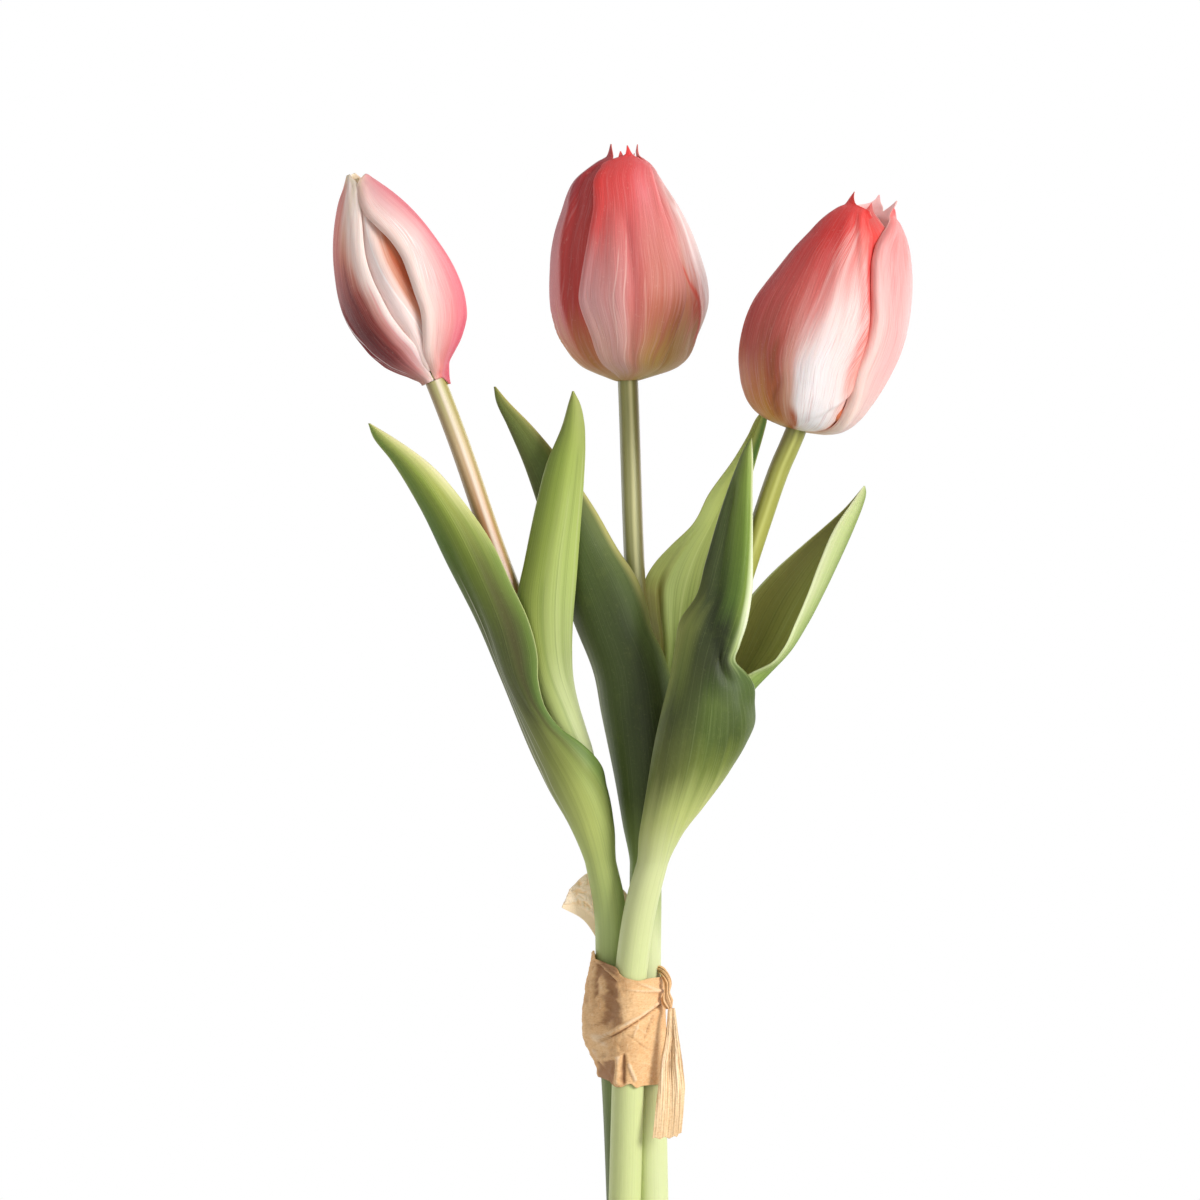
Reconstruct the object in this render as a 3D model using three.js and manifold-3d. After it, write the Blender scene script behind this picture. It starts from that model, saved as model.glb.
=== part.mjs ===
// Artificial tulip bundle: three soft-touch tulips with moulded leaves, tied with a strip of brown paper.
// Millimetres, +Z up. The origin is the centre of the front stem's cut end, and the bundle faces -Y.
import * as THREE from 'three';
import { mergeVertices } from 'three/addons/utils/BufferGeometryUtils.js';
import Module from 'manifold-3d';

const wasm = await Module();
wasm.setup();

// Clearance between pieces that are pushed together
const CLEARANCE = 0.35;

// Flower stems: a soft tube over a steel wire, closed at its cut end
const STEM_RADIUS = 2.75;
const STEM_PLUG = 4;
const WIRE_RADIUS = 0.8;
const WIRE_INTO_HEAD = 6;
const FLUSH_LENGTH = 20;

// Outer leaves: a sleeve over the stem, which opens into the blade
const SLEEVE_WALL = 1.2;
const SLEEVE_TOP = 150;
const BLADE_ROOT = 9;
const LEAF_THICKNESS = 0.9;

// Inner leaves: a split collar round the stem, which opens into the blade
const COLLAR_RISE = 10;
const COLLAR_EASE = 0.25;
const SLIT_HALF_ANGLE = 5;

// Flower heads
const OUTER_PETAL_THICKNESS = 0.9;
const INNER_PETAL_THICKNESS = 0.8;
const PETAL_TIP_THINNING = 0.45;
const PETAL_SKIRT = 1.5;
const INNER_SCALE = 0.9;
const INNER_LIFT = 1.9;
const INNER_SEAT_HEIGHT = 3;
const RECEPTACLE_HEIGHT = 12;

// Paper tie
const PAPER_THICKNESS = 0.6;
const BAND_TOP = 121;
const BAND_BOTTOM = 92;
const BAND_EASE = 0.5;
const BAND_SLACK = 3.6;
const BAND_SLANT = 5;
const BAND_HIGH_AZIMUTH = 200;
const BAND_OPENING = 6;
const KNOT_AZIMUTH = -22;
const KNOT_RADIUS = 1.4;
const KNOT_DROP = 5.5;
const TAIL_LENGTH = 34;
const TAIL_BELOW_KNOT = 4.4;
const TAIL_PLEAT = 0.7;
const TAIL_FORWARD = 10.5;
const BACK_AZIMUTH = 100;
const BACK_SLOPE = 0.27;
const BACK_LEAN = 0.06;

// Facets
const STEM_SIDES = 10;
const STEM_LEVELS = [0, 60, 89, 104, 120, 132, 141, 145.5, 150, 160, 170, 182, 200, 220, 241, 258, 400];
const SLEEVE_SIDES = 12;
const WIRE_SIDES = 6;
const BLADE_COLUMNS = 8;
const BLADE_ROWS = 17;
const BAND_COLUMNS = 36;
const BAND_ROWS = 4;
const TAIL_COLUMNS = 6;
const TAIL_ROWS = 6;

const SLEEVE_BORE = STEM_RADIUS + CLEARANCE;
const SLEEVE_RADIUS = SLEEVE_BORE + SLEEVE_WALL;
const WIRE_BORE = WIRE_RADIUS + CLEARANCE;

// The leaves' rows below are written for sleeves that end at this height. Longer sleeves push the blades up along
// the stems, and with shorter ones the blades only start lower.
const BLADES_WRITTEN_FOR = 150;
const BLADES_FROM = Math.max(SLEEVE_TOP, BLADES_WRITTEN_FOR);
const COLLAR_BOTTOM = BLADES_FROM + COLLAR_RISE;

const COLOURS = {
  stem: 0x8f9a4e,
  wire: 0x8a8f94,
  outerLeaf: 0x6f8f3c,
  innerLeaf: 0xa9be6b,
  receptacle: 0xb9c07a,
  petal: 0xe0716c,
  petalInside: 0xd88f86,
  paper: 0xc79a6b,
};

// The stems' centre lines as rows of height, x and y, and the flower head that each one carries.
// A head's profile runs from the stem to the tip, in rows of height and radius in the head's own frame.
// Petals are rows of azimuth and half width in degrees, from the front, positive to the right.
const TULIPS = {
  left: {
    axis: [[0, 2.5, 9.5], [60, 0.9, 8.9], [89, -0.3, 9.4], [104, -1.3, 8.6], [120, -1.9, 7.6], [140, -2.8, 6],
      [150, -4.9, 5],
      [180, -12.3, 4.8], [233, -32.8, 4.4], [265, -43.8, 4.1], [279, -49.2, 4]],
    lean: -22.1,
    profile: [[1.5, 4.4], [4.6, 6.4], [8.5, 10.2], [13.5, 13.7], [19, 15.7], [25, 16.1], [32, 15.5],
      [41, 12.8], [50, 9.1], [55, 6], [59.3, 1.7]],
    outerPetals: { left: [-72, 52], right: [64, 52], back: [176, 52] },
    innerPetals: { front: [-4, 50], right: [120, 50], left: [-128, 50] },
    tipWidth: 0.5,
  },
  centre: {
    axis: [[0, 10.7, 3.5], [60, 8.9, 5], [89, 8.3, 6.5], [120, 7, 9.9], [140, 7.1, 8.5], [150, 7.1, 8.7],
      [194, 6.1, 10.6], [231, 4.1, 12.1], [280, 2.4, 14]],
    lean: -2.4,
    profile: [[0.3, 5.6], [1.6, 8.6], [3, 12.2], [6.5, 15.3], [11, 17.8], [16, 19.6], [22, 20.6], [29, 20],
      [37, 18], [45, 15.1], [51.7, 12], [56, 9], [58.7, 5.6], [59.8, 4.2], [62.2, 3.6]],
    outerPetals: { front: [7.5, 43], left: [-105, 55], right: [118, 55] },
    innerPetals: { left: [-41, 50], right: [62, 48], back: [180, 50] },
    tipWidth: 0.12,
  },
  right: {
    axis: [[0, 0, 0], [60, 1.5, 0], [89, 2.3, 0], [120, 3.1, 0], [140, 6.1, -1.5], [150, 8.8, -3],
      [178, 17.6, -5.9], [200, 24.6, -8.2], [241, 37.6, -12.5], [255, 42.4, -14], [266, 47, -15]],
    lean: 15.2,
    profile: [[-0.4, 6], [0.3, 9], [2, 12.9], [5.5, 16.6], [11, 19.2], [18, 20.9], [26, 21.2], [33, 20.3],
      [40, 18.5], [47, 16], [53, 13.3], [57, 11], [59.5, 8.8], [62.5, 8.2]],
    outerPetals: { front: [-25, 52], right: [83, 51], back: [-155, 51] },
    innerPetals: { front: [30, 48], back: [150, 48], left: [-92, 48] },
    tipWidth: 0.12,
  },
};

// The leaves above the sleeve or collar: left margin, rib and right margin as rows of height, x and y, and the
// bulge of the two arcs between them. The slit is the azimuth, in plan, where the margins meet at the foot.
const LEAVES = {
  left: {
    outer: {
      slit: 90,
      turn: 1,
      left: [[160, -9.5, 9.5], [170, -16, 9.6], [180, -22, 9], [200, -31.4, 6.5], [215, -38.2, 4.5],
        [230, -45.9, 2.5], [246, -53.7, 1], [258, -61.1, -0.5], [264, -65.7, -1.5], [267.4, -66.9, -2]],
      rib: [[160, -7.6, -0.7], [170, -11.5, -3], [180, -17, -3.6], [200, -28.6, -1], [215, -33.5, -2],
        [230, -40, -3], [246, -48.5, -3.5], [258, -57.2, -3.2], [264, -63.4, -2.7], [267.4, -66.7, -2.2]],
      right: [[160, -4.5, 9], [170, -4, 6.6], [176, -4.8, 1.5], [182, -10, -2], [186, -15.5, -3],
        [190, -18.7, -3.4], [198, -21.4, -3.2], [206, -21.8, -3], [215, -24.2, -3], [225, -28.9, -3],
        [235, -33.6, -3], [246, -41.1, -2.5], [258, -52.2, -2.2], [264, -60.8, -2.2], [267.4, -66.4, -2]],
      bulge: [[160, 0.83, 0.84], [170, 0.7, 0.55], [176, 0.6, 0.4], [182, 0.5, 0.3], [200, 0.3, 0.15],
        [267.4, 0.15, 0.1]],
    },
    inner: {
      slit: 125,
      turn: 1,
      left: [[170, -13.4, 6.2], [180, -16.2, 3], [190, -19.5, 0.4], [200, -23.3, 0.4], [215, -27.2, 0.6],
        [221, -27.2, 0.6], [230, -25.4, 0.3], [245, -22.3, -0.2], [257, -19.2, -1], [267, -15.1, -2],
        [273, -13.4, -2.6], [276, -12.5, -2.8]],
      rib: [[170, -6.6, 2], [180, -9.2, 0.8], [190, -13.5, -0.4], [200, -17.3, -1.2], [215, -19, -2.6],
        [230, -18, -3], [245, -15.5, -3.2], [257, -13.6, -3.4], [267, -12.2, -3.4], [273, -12, -3.2],
        [276, -12.3, -3]],
      right: [[170, -8.4, 8.5], [180, -8, 7], [186, -9.5, 6], [192, -11.2, 5.5], [199, -12.5, 5],
        [207, -12.8, 4], [215, -12.5, 3.2], [225, -11.6, 2.6], [239, -10.5, 1.6], [254, -9.4, 0.6],
        [262, -9.1, -0.2], [268, -9.4, -1.2], [273, -10.6, -2], [276, -12.1, -2.6]],
      bulge: [[170, 0.82, 0.56], [180, 0.47, 0.36], [190, 0.35, 0.35], [200, 0.25, 0.35], [276, 0.15, 0.15]],
    },
  },
  centre: {
    outer: {
      slit: 85,
      turn: 1,
      left: [[160, 3.6, 13.4], [170, 0.8, 12.6], [180, -2, 11.3], [190, -4.3, 11], [200, -6.3, 10.5],
        [215, -12.3, 9.3], [230, -17, 8], [245, -21.5, 6.5], [258, -26, 5.3], [267, -29.9, 4.6],
        [274, -33, 4.1], [277.4, -33.5, 4]],
      rib: [[160, 7, 3.2], [170, 6.6, 1.5], [180, 5.6, 1], [190, 4.6, 1], [200, 3.4, 1.3], [215, -1.8, 2.3],
        [230, -8, 3.2], [245, -14.3, 3.4], [258, -20.8, 3.6], [267, -26.6, 3.8], [274, -31.9, 3.8],
        [277.4, -33.3, 3.8]],
      right: [[160, 12, 11.5], [170, 15, 9.5], [180, 16.2, 8], [190, 15.6, 7], [200, 13.6, 6.6],
        [206, 11.8, 6.5], [212, 8.9, 6.5], [219, 7.4, 6.6], [226, 4.8, 6.6], [234, -0.4, 6.5],
        [245, -6.7, 6], [258, -15.8, 5], [267, -23.4, 4.4], [274, -30.2, 4], [277.4, -33, 3.8]],
      bulge: [[160, 0.7, 0.6], [170, 0.57, 0.48], [180, 0.48, 0.45], [200, 0.42, 0.33], [215, 0.3, 0.25],
        [277.4, 0.15, 0.15]],
    },
    inner: {
      slit: 225,
      turn: -1,
      left: [[165, 2.6, 8.8], [170, 3, 11.2], [185, 5.6, 14.6], [200, 8.6, 14.4], [210, 9.3, 14.1], [218, 7.9, 14],
        [225, 7.3, 13.9], [230, 9.5, 13.2], [235, 14.1, 12.2], [240, 19.3, 10.8], [249, 24.3, 8.4],
        [258, 30.8, 6], [264, 34.4, 4.6], [270, 37.6, 3.2], [272, 39.4, 2.8]],
      rib: [[170, 10.6, 13.4], [185, 15, 16], [200, 17, 16.8], [215, 17.5, 16.8], [230, 20.5, 15],
        [245, 27, 11.8], [258, 33.3, 8.4], [264, 35.9, 6.4], [270, 38.4, 4.4], [272, 39.6, 3.4]],
      right: [[165, 8, 5], [170, 10.4, 6.5], [180, 13.2, 8.8], [190, 17.5, 10.4], [200, 22, 10.6], [215, 25.5, 10.4],
        [230, 28, 9.6], [245, 32.4, 7.6], [254, 35.6, 5.8], [259, 37, 4.9], [264, 38.4, 3.8],
        [268, 39.4, 3.1], [272, 40, 2.7]],
      bulge: [[170, 0.6, 0.55], [185, 0.3, 0.3], [200, 0.25, 0.2], [272, 0.15, 0.15]],
    },
  },
  right: {
    outer: {
      slit: 180,
      turn: 1,
      left: [[157, 5.4, -5], [165, 6.7, -6.5], [175, 8.3, -7.5], [182, 9.5, -7.6], [190, 11.2, -7.8],
        [200, 13.6, -8.2], [208, 14.9, -8.8], [215, 16.2, -9.8], [221, 20.2, -11.2], [230, 22.8, -12.2],
        [245, 27.2, -14], [255, 30.8, -15.6], [260, 32.9, -17], [263, 34.6, -17.9]],
      rib: [[157, 15.4, -6.2], [165, 18.9, -10.6], [175, 22.8, -14.4], [182, 24.6, -16], [190, 25.6, -16.4],
        [200, 26.2, -16.2], [208, 27.6, -16.4], [215, 29.6, -17], [221, 31.2, -17.3], [230, 32.6, -17.6],
        [245, 33.6, -18], [255, 33.9, -18.3], [260, 34.2, -18.3], [263, 34.8, -18.3]],
      right: [[157, 8, 0.6], [165, 16.4, 2.4], [175, 26.2, 1.5], [182, 32.6, -2], [187, 35.6, -5],
        [193, 35.9, -8.2], [198, 35.6, -10.3], [201, 33.6, -12.2], [204, 30.8, -14.5], [208, 31.8, -14.6],
        [213, 33.5, -14.8], [221, 35, -15.2], [235, 35.3, -16], [250, 35.2, -16.8], [258, 35.3, -17.4],
        [263, 35, -18]],
      bulge: [[157, 0.73, 0.73], [165, 0.59, 0.62], [175, 0.5, 0.55], [182, 0.45, 0.47], [193, 0.35, 0.3],
        [204, 0.25, 0.1], [263, 0.12, 0.1]],
    },
    inner: {
      slit: 180,
      turn: 1,
      left: [[165, 10, -7.2], [170, 12.6, -9.2], [180, 18.4, -10.4], [190, 24, -11], [197, 30, -10],
        [199, 32.2, -8.8], [200.5, 34.2, -8.2], [203.5, 40.2, -10.4], [207, 43.2, -11.8], [214, 46.6, -12], [222, 50, -11.6], [230, 53, -11.4],
        [240, 57.5, -11.2], [246, 61.6, -11], [250.6, 64.9, -10.8]],
      rib: [[170, 20.5, -4.6], [180, 26, -5], [190, 31.5, -5.6], [197, 36, -6.4], [201, 39.8, -7],
        [206, 44.6, -7.6], [214, 49.8, -8.2], [222, 54, -8.6], [230, 57.8, -9], [240, 62.2, -9.6],
        [246, 64.5, -10], [249, 65.3, -10.2], [250.6, 65.2, -10.4]],
      right: [[165, 10, -1.9], [170, 12.6, -0.9], [180, 18.5, 0.6], [190, 23, 1.6], [200, 26.5, 2.4], [210, 29.5, 2.4],
        [220, 34.2, 1.2], [227, 40.2, -0.6], [235, 49, -3.4], [240, 54.8, -5.4], [245, 60.2, -8],
        [248, 62.8, -9.4], [250.6, 64.9, -10.2]],
      bulge: [[170, 0.59, 0.53], [180, 0.35, 0.3], [200, 0.15, 0.2], [250.6, 0.1, 0.12]],
    },
  },
};

const radians = THREE.MathUtils.degToRad;

// A smooth curve through rows of parameter and values, as a function of the parameter
function through(rows) {
  const last = rows.length - 1;
  const rise = (i, c) => (rows[i + 1][c] - rows[i][c]) / (rows[i + 1][0] - rows[i][0]);
  const slope = (i, c) => {
    if (i === 0) return rise(0, c);
    if (i === last) return rise(last - 1, c);
    const before = rows[i][0] - rows[i - 1][0];
    const after = rows[i + 1][0] - rows[i][0];
    return (rise(i - 1, c) * after + rise(i, c) * before) / (before + after);
  };
  return (t) => {
    let i = 0;
    while (i < last - 1 && t > rows[i + 1][0]) i += 1;
    const width = rows[i + 1][0] - rows[i][0];
    const s = (t - rows[i][0]) / width;
    const values = [];
    for (let c = 1; c < rows[i].length; c += 1) {
      const start = rows[i][c] * (1 + 2 * s) * (1 - s) ** 2;
      const end = rows[i + 1][c] * (3 - 2 * s) * s * s;
      const bend = slope(i, c) * s * (1 - s) ** 2 - slope(i + 1, c) * s * s * (1 - s);
      values.push(start + end + bend * width);
    }
    return values;
  };
}

// Point at t on the arc from p to q; the bulge is the tangent of a quarter of the arc's angle
function arcPoint(p, q, bulge, t) {
  const half = 2 * Math.atan(bulge);
  const turn = half * (1 - t);
  const reach = Math.sin(half * t) / Math.sin(half);
  const dx = q[0] - p[0];
  const dy = q[1] - p[1];
  return [
    p[0] + reach * (dx * Math.cos(turn) + dy * Math.sin(turn)),
    p[1] + reach * (dy * Math.cos(turn) - dx * Math.sin(turn)),
  ];
}

function indexedGeometry(points, triangles) {
  const geometry = new THREE.BufferGeometry();
  geometry.setAttribute('position', new THREE.Float32BufferAttribute(points.flatMap((p) => p.toArray()), 3));
  geometry.setIndex(triangles);
  return geometry;
}

// A thin closed sheet: surface(u, v) is its middle, and thickness(v) is measured square to it
function thicken(surface, across, rows, thickness) {
  const along = rows.length - 1;
  const width = across + 1;
  const grid = rows.map((v) => Array.from({ length: width }, (_, i) => surface(i / across, v)));
  const at = (j, i) => grid[THREE.MathUtils.clamp(j, 0, along)][THREE.MathUtils.clamp(i, 0, across)];
  const faces = { front: [], back: [] };
  grid.forEach((row, j) => row.forEach((point, i) => {
    const normal = at(j, i + 1).clone().sub(at(j, i - 1)).cross(at(j + 1, i).clone().sub(at(j - 1, i)));
    normal.normalize().multiplyScalar(thickness(rows[j]) / 2);
    faces.front.push(point.clone().add(normal));
    faces.back.push(point.clone().sub(normal));
  }));
  const back = faces.front.length;
  const triangles = [];
  const quad = (a, b, c, d) => triangles.push(a, b, c, a, c, d);
  for (let j = 0; j < along; j += 1) {
    for (let i = 0; i < across; i += 1) {
      const a = j * width + i;
      quad(a, a + 1, a + 1 + width, a + width);
      quad(back + a, back + a + width, back + a + 1 + width, back + a + 1);
    }
    const left = j * width;
    const right = left + across;
    quad(left, left + width, back + left + width, back + left);
    quad(right, back + right, back + right + width, right + width);
  }
  for (let i = 0; i < across; i += 1) {
    const top = along * width + i;
    quad(i, back + i, back + i + 1, i + 1);
    quad(top, top + 1, back + top + 1, back + top);
  }
  return indexedGeometry([...faces.front, ...faces.back], triangles);
}

const evenly = (count) => Array.from({ length: count + 1 }, (_, j) => j / count);

// The square frame at a height on a stem, level at the cut end so that all the ends lie in one plane
function stemFrame(axis, z) {
  const step = 0.5;
  const [x0, y0] = axis(z - step);
  const [x1, y1] = axis(z + step);
  const level = THREE.MathUtils.smoothstep(z, 0, FLUSH_LENGTH);
  const up = new THREE.Vector3((x1 - x0) * level, (y1 - y0) * level, 2 * step).normalize();
  const side = new THREE.Vector3(1, 0, 0).addScaledVector(up, -up.x).normalize();
  return { side, depth: up.clone().cross(side), up };
}

// Bends a lathe turned about +Y so that its length follows a stem's centre line
function bendAlong(lathe, axis) {
  const position = lathe.getAttribute('position');
  for (let i = 0; i < position.count; i += 1) {
    const z = position.getY(i);
    const frame = stemFrame(axis, z);
    const centre = new THREE.Vector3(...axis(z), z);
    centre.addScaledVector(frame.side, -position.getX(i)).addScaledVector(frame.depth, position.getZ(i));
    position.setXYZ(i, centre.x, centre.y, centre.z);
  }
  lathe.deleteAttribute('normal');
  lathe.deleteAttribute('uv');
  return mergeVertices(lathe);
}

// The shared levels between two heights, so that a tube and what is inside it bend alike
function heights(from, to) {
  const between = STEM_LEVELS.filter((z) => z > from + STEM_RADIUS && z < to - STEM_RADIUS);
  return [from, ...between, to];
}

const profilePoints = (radius, levels) => levels.map((z) => new THREE.Vector2(radius, z));

function flowerStem(tulip) {
  const profile = [
    new THREE.Vector2(0, 0),
    ...profilePoints(STEM_RADIUS, heights(0, tulip.top)),
    ...profilePoints(WIRE_BORE, heights(STEM_PLUG, tulip.top).reverse()),
    new THREE.Vector2(0, STEM_PLUG),
  ];
  return bendAlong(new THREE.LatheGeometry(profile, STEM_SIDES), tulip.curve);
}

function stemWire(tulip) {
  const bottom = STEM_PLUG + CLEARANCE;
  const top = tulip.top + WIRE_INTO_HEAD * Math.cos(radians(tulip.lean));
  const profile = [
    new THREE.Vector2(0, bottom),
    ...profilePoints(WIRE_RADIUS, [...heights(bottom, tulip.top), top]),
    new THREE.Vector2(0, top),
  ];
  return bendAlong(new THREE.LatheGeometry(profile, WIRE_SIDES), tulip.curve);
}

function sleeve(tulip) {
  const up = heights(0, SLEEVE_TOP);
  const profile = [
    ...profilePoints(SLEEVE_RADIUS, up),
    ...profilePoints(SLEEVE_BORE, [...up].reverse()),
    new THREE.Vector2(SLEEVE_RADIUS, 0),
  ];
  return bendAlong(new THREE.LatheGeometry(profile, SLEEVE_SIDES), tulip.curve);
}

// Margins and rib where the foot of a leaf closes round the stem
function footRow(tulip, leaf, z, radius) {
  const [x, y] = tulip.curve(z);
  const onCircle = (degrees) => [
    z,
    x + radius * Math.cos(radians(degrees)),
    y + radius * Math.sin(radians(degrees)),
  ];
  return {
    left: onCircle(leaf.slit + leaf.turn * SLIT_HALF_ANGLE),
    rib: onCircle(leaf.slit + 180),
    right: onCircle(leaf.slit - leaf.turn * SLIT_HALF_ANGLE),
    bulge: Array(2).fill(Math.tan(radians((180 - SLIT_HALF_ANGLE) / 4))),
  };
}

function blade(tulip, leaf, footLevels, footRadius) {
  const feet = footLevels.map((z) => footRow(tulip, leaf, z, footRadius));
  const tip = leaf.rib[leaf.rib.length - 1][0];
  const carried = (z) => tip - ((tip - z) * (tip - BLADES_FROM)) / (tip - BLADES_WRITTEN_FOR);
  const moved = ([z, x, y]) => {
    const [fromX, fromY] = tulip.curve(z);
    const [toX, toY] = tulip.curve(carried(z));
    return [carried(z), x + toX - fromX, y + toY - fromY];
  };
  const margin = (name) => through([...feet.map((foot) => foot[name]), ...leaf[name].map(moved)]);
  const left = margin('left');
  const rib = margin('rib');
  const right = margin('right');
  const bulges = leaf.bulge.map(([z, ...pair]) => [carried(z), ...pair]);
  const bulge = through([...feet.map((foot, k) => [footLevels[k], ...foot.bulge]), ...bulges]);
  const bottom = footLevels[0];
  const surface = (u, v) => {
    const z = bottom + (tip - bottom) * v;
    const [leftBulge, rightBulge] = bulge(z);
    const [x, y] = u <= 0.5
      ? arcPoint(left(z), rib(z), leaf.turn * leftBulge, 2 * u)
      : arcPoint(rib(z), right(z), leaf.turn * rightBulge, 2 * u - 1);
    return new THREE.Vector3(x, y, z);
  };
  const rows = evenly(BLADE_ROWS).map((v) => v ** 1.3);
  return thicken(surface, BLADE_COLUMNS, rows, () => LEAF_THICKNESS);
}

function asSolid(geometry) {
  return new wasm.Manifold(new wasm.Mesh({
    numProp: 3,
    vertProperties: Float32Array.from(geometry.getAttribute('position').array),
    triVerts: Uint32Array.from(geometry.getIndex().array),
  }));
}

function asGeometry(solid) {
  const mesh = solid.getMesh();
  const geometry = new THREE.BufferGeometry();
  geometry.setAttribute('position', new THREE.Float32BufferAttribute(mesh.vertProperties, 3));
  geometry.setIndex([...mesh.triVerts]);
  return geometry;
}

function outerLeaf(tulip, leaf) {
  const footRadius = SLEEVE_BORE + SLEEVE_WALL / 2;
  const foot = blade(tulip, leaf, [SLEEVE_TOP - BLADE_ROOT, SLEEVE_TOP], footRadius);
  return asGeometry(asSolid(sleeve(tulip)).add(asSolid(foot)));
}

function innerLeaf(tulip, leaf) {
  return blade(tulip, leaf, [COLLAR_BOTTOM], SLEEVE_BORE + COLLAR_EASE + LEAF_THICKNESS / 2);
}

// The head's own frame: its foot is the top of the stem, and it leans to one side
function headPoint(tulip, azimuth, radius, height) {
  const lean = radians(tulip.lean);
  const across = radius * Math.sin(azimuth);
  const [x, y] = tulip.curve(tulip.top);
  return new THREE.Vector3(
    x + across * Math.cos(lean) + height * Math.sin(lean),
    y - radius * Math.cos(azimuth),
    tulip.top - across * Math.sin(lean) + height * Math.cos(lean),
  );
}

// Rows of height and radius, as a curve of the share of the length along them
function alongProfile(rows) {
  let length = 0;
  const lengths = rows.map((row, i) => {
    if (i > 0) length += Math.hypot(row[0] - rows[i - 1][0], row[1] - rows[i - 1][1]);
    return length;
  });
  return through(rows.map((row, i) => [lengths[i] / length, ...row]));
}

function petal(tulip, profile, [azimuth, halfWidth], across, rows, thickness) {
  const curve = alongProfile(profile);
  const spread = through([[0, 0.8], [0.12, 0.93], [0.25, 0.98], [0.4, 1], [0.7, 1], [0.82, 0.95], [0.92, 0.8],
    [1, tulip.tipWidth]]);
  const surface = (u, v) => {
    const [height, radius] = curve(v);
    const turn = azimuth + halfWidth * spread(v)[0] * (2 * u - 1);
    return headPoint(tulip, radians(turn), radius, height);
  };
  const thinning = through([[0, 1], [0.8, 1], [1, PETAL_TIP_THINNING]]);
  return thicken(surface, across, rows, (v) => thickness * thinning(v)[0]);
}

function outerProfile(tulip) {
  const skirt = [-PETAL_SKIRT, SLEEVE_BORE + OUTER_PETAL_THICKNESS / 2];
  return [skirt, ...tulip.profile];
}

// The inner petals follow the outer ones at a smaller scale, from their seat on the receptacle
function innerProfile(tulip) {
  const seat = [INNER_SEAT_HEIGHT, receptacleRadius() + CLEARANCE + INNER_PETAL_THICKNESS / 2];
  const nested = tulip.profile.map(([h, r]) => [h * INNER_SCALE + INNER_LIFT, r * INNER_SCALE]);
  return [seat, ...nested.filter(([, r]) => r > seat[1] + INNER_PETAL_THICKNESS || r < seat[1] / 2)];
}

const receptacleRadius = () => STEM_RADIUS + CLEARANCE;

function receptacle(tulip) {
  const socketTop = WIRE_INTO_HEAD + CLEARANCE;
  const radius = receptacleRadius();
  const profile = [
    [WIRE_BORE, CLEARANCE], [STEM_RADIUS, CLEARANCE], [radius, CLEARANCE + 1], [radius, INNER_SEAT_HEIGHT + 1],
    [radius * 0.66, RECEPTACLE_HEIGHT * 0.66], [radius * 0.33, RECEPTACLE_HEIGHT], [0, RECEPTACLE_HEIGHT],
    [0, socketTop], [WIRE_BORE, socketTop], [WIRE_BORE, CLEARANCE],
  ];
  const lathe = new THREE.LatheGeometry(profile.map(([r, h]) => new THREE.Vector2(r, h)), STEM_SIDES);
  const position = lathe.getAttribute('position');
  for (let i = 0; i < position.count; i += 1) {
    const [x, h, y] = [position.getX(i), position.getY(i), position.getZ(i)];
    const point = headPoint(tulip, Math.atan2(x, y), Math.hypot(x, y), h);
    position.setXYZ(i, point.x, point.y, point.z);
  }
  lathe.deleteAttribute('normal');
  lathe.deleteAttribute('uv');
  return mergeVertices(lathe);
}

// Where paper round the three sleeves lies at a height, in the direction of an azimuth in plan
function roundSleeves(z, azimuth) {
  const normal = [Math.cos(radians(azimuth)), Math.sin(radians(azimuth))];
  const centres = Object.values(TULIPS).map((tulip) => tulip.curve(z));
  const swell = Math.sin((Math.PI * (z - BAND_BOTTOM)) / (BAND_TOP - BAND_BOTTOM));
  centres.push([centres[0][0] - BAND_SLACK * Math.max(0, swell), centres[0][1]]);
  const reaches = centres.map(([x, y]) => x * normal[0] + y * normal[1]);
  const [x, y] = centres[reaches.indexOf(Math.max(...reaches))];
  const radius = SLEEVE_RADIUS + BAND_EASE + PAPER_THICKNESS / 2;
  return [x + radius * normal[0], y + radius * normal[1]];
}

// The loop of the tie; its two ends meet under the knot
function tieBand() {
  const surface = (u, v) => {
    const azimuth = KNOT_AZIMUTH - BAND_OPENING / 2 - (360 - BAND_OPENING) * u;
    const slant = BAND_SLANT * Math.max(0, Math.cos(radians(azimuth - BAND_HIGH_AZIMUTH))) ** 2;
    const z = BAND_BOTTOM + (BAND_TOP + slant - BAND_BOTTOM) * v;
    return new THREE.Vector3(...roundSleeves(z, azimuth), z);
  };
  return thicken(surface, BAND_COLUMNS, evenly(BAND_ROWS), () => PAPER_THICKNESS);
}

function knotCentre() {
  const z = BAND_TOP - KNOT_DROP;
  const [x, y] = roundSleeves(z, KNOT_AZIMUTH);
  const away = PAPER_THICKNESS / 2 + CLEARANCE + KNOT_RADIUS;
  return new THREE.Vector3(
    x + away * Math.cos(radians(KNOT_AZIMUTH)),
    y + away * Math.sin(radians(KNOT_AZIMUTH)),
    z,
  );
}

// A lump with a pinch at its waist, as rows of height from the waist and share of the knot's radius
function tieKnot() {
  const profile = [[-4, 0], [-3.8, 0.6], [-2.2, 1], [0, 0.55], [2.4, 1], [4.4, 0.95], [6, 0.45], [6.2, 0]];
  const lathe = new THREE.LatheGeometry(
    profile.map(([h, share]) => new THREE.Vector2(share * KNOT_RADIUS, h)),
    STEM_SIDES,
  );
  const centre = knotCentre();
  lathe.rotateX(Math.PI / 2).translate(centre.x, centre.y, centre.z);
  lathe.deleteAttribute('normal');
  lathe.deleteAttribute('uv');
  return mergeVertices(lathe);
}

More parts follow.
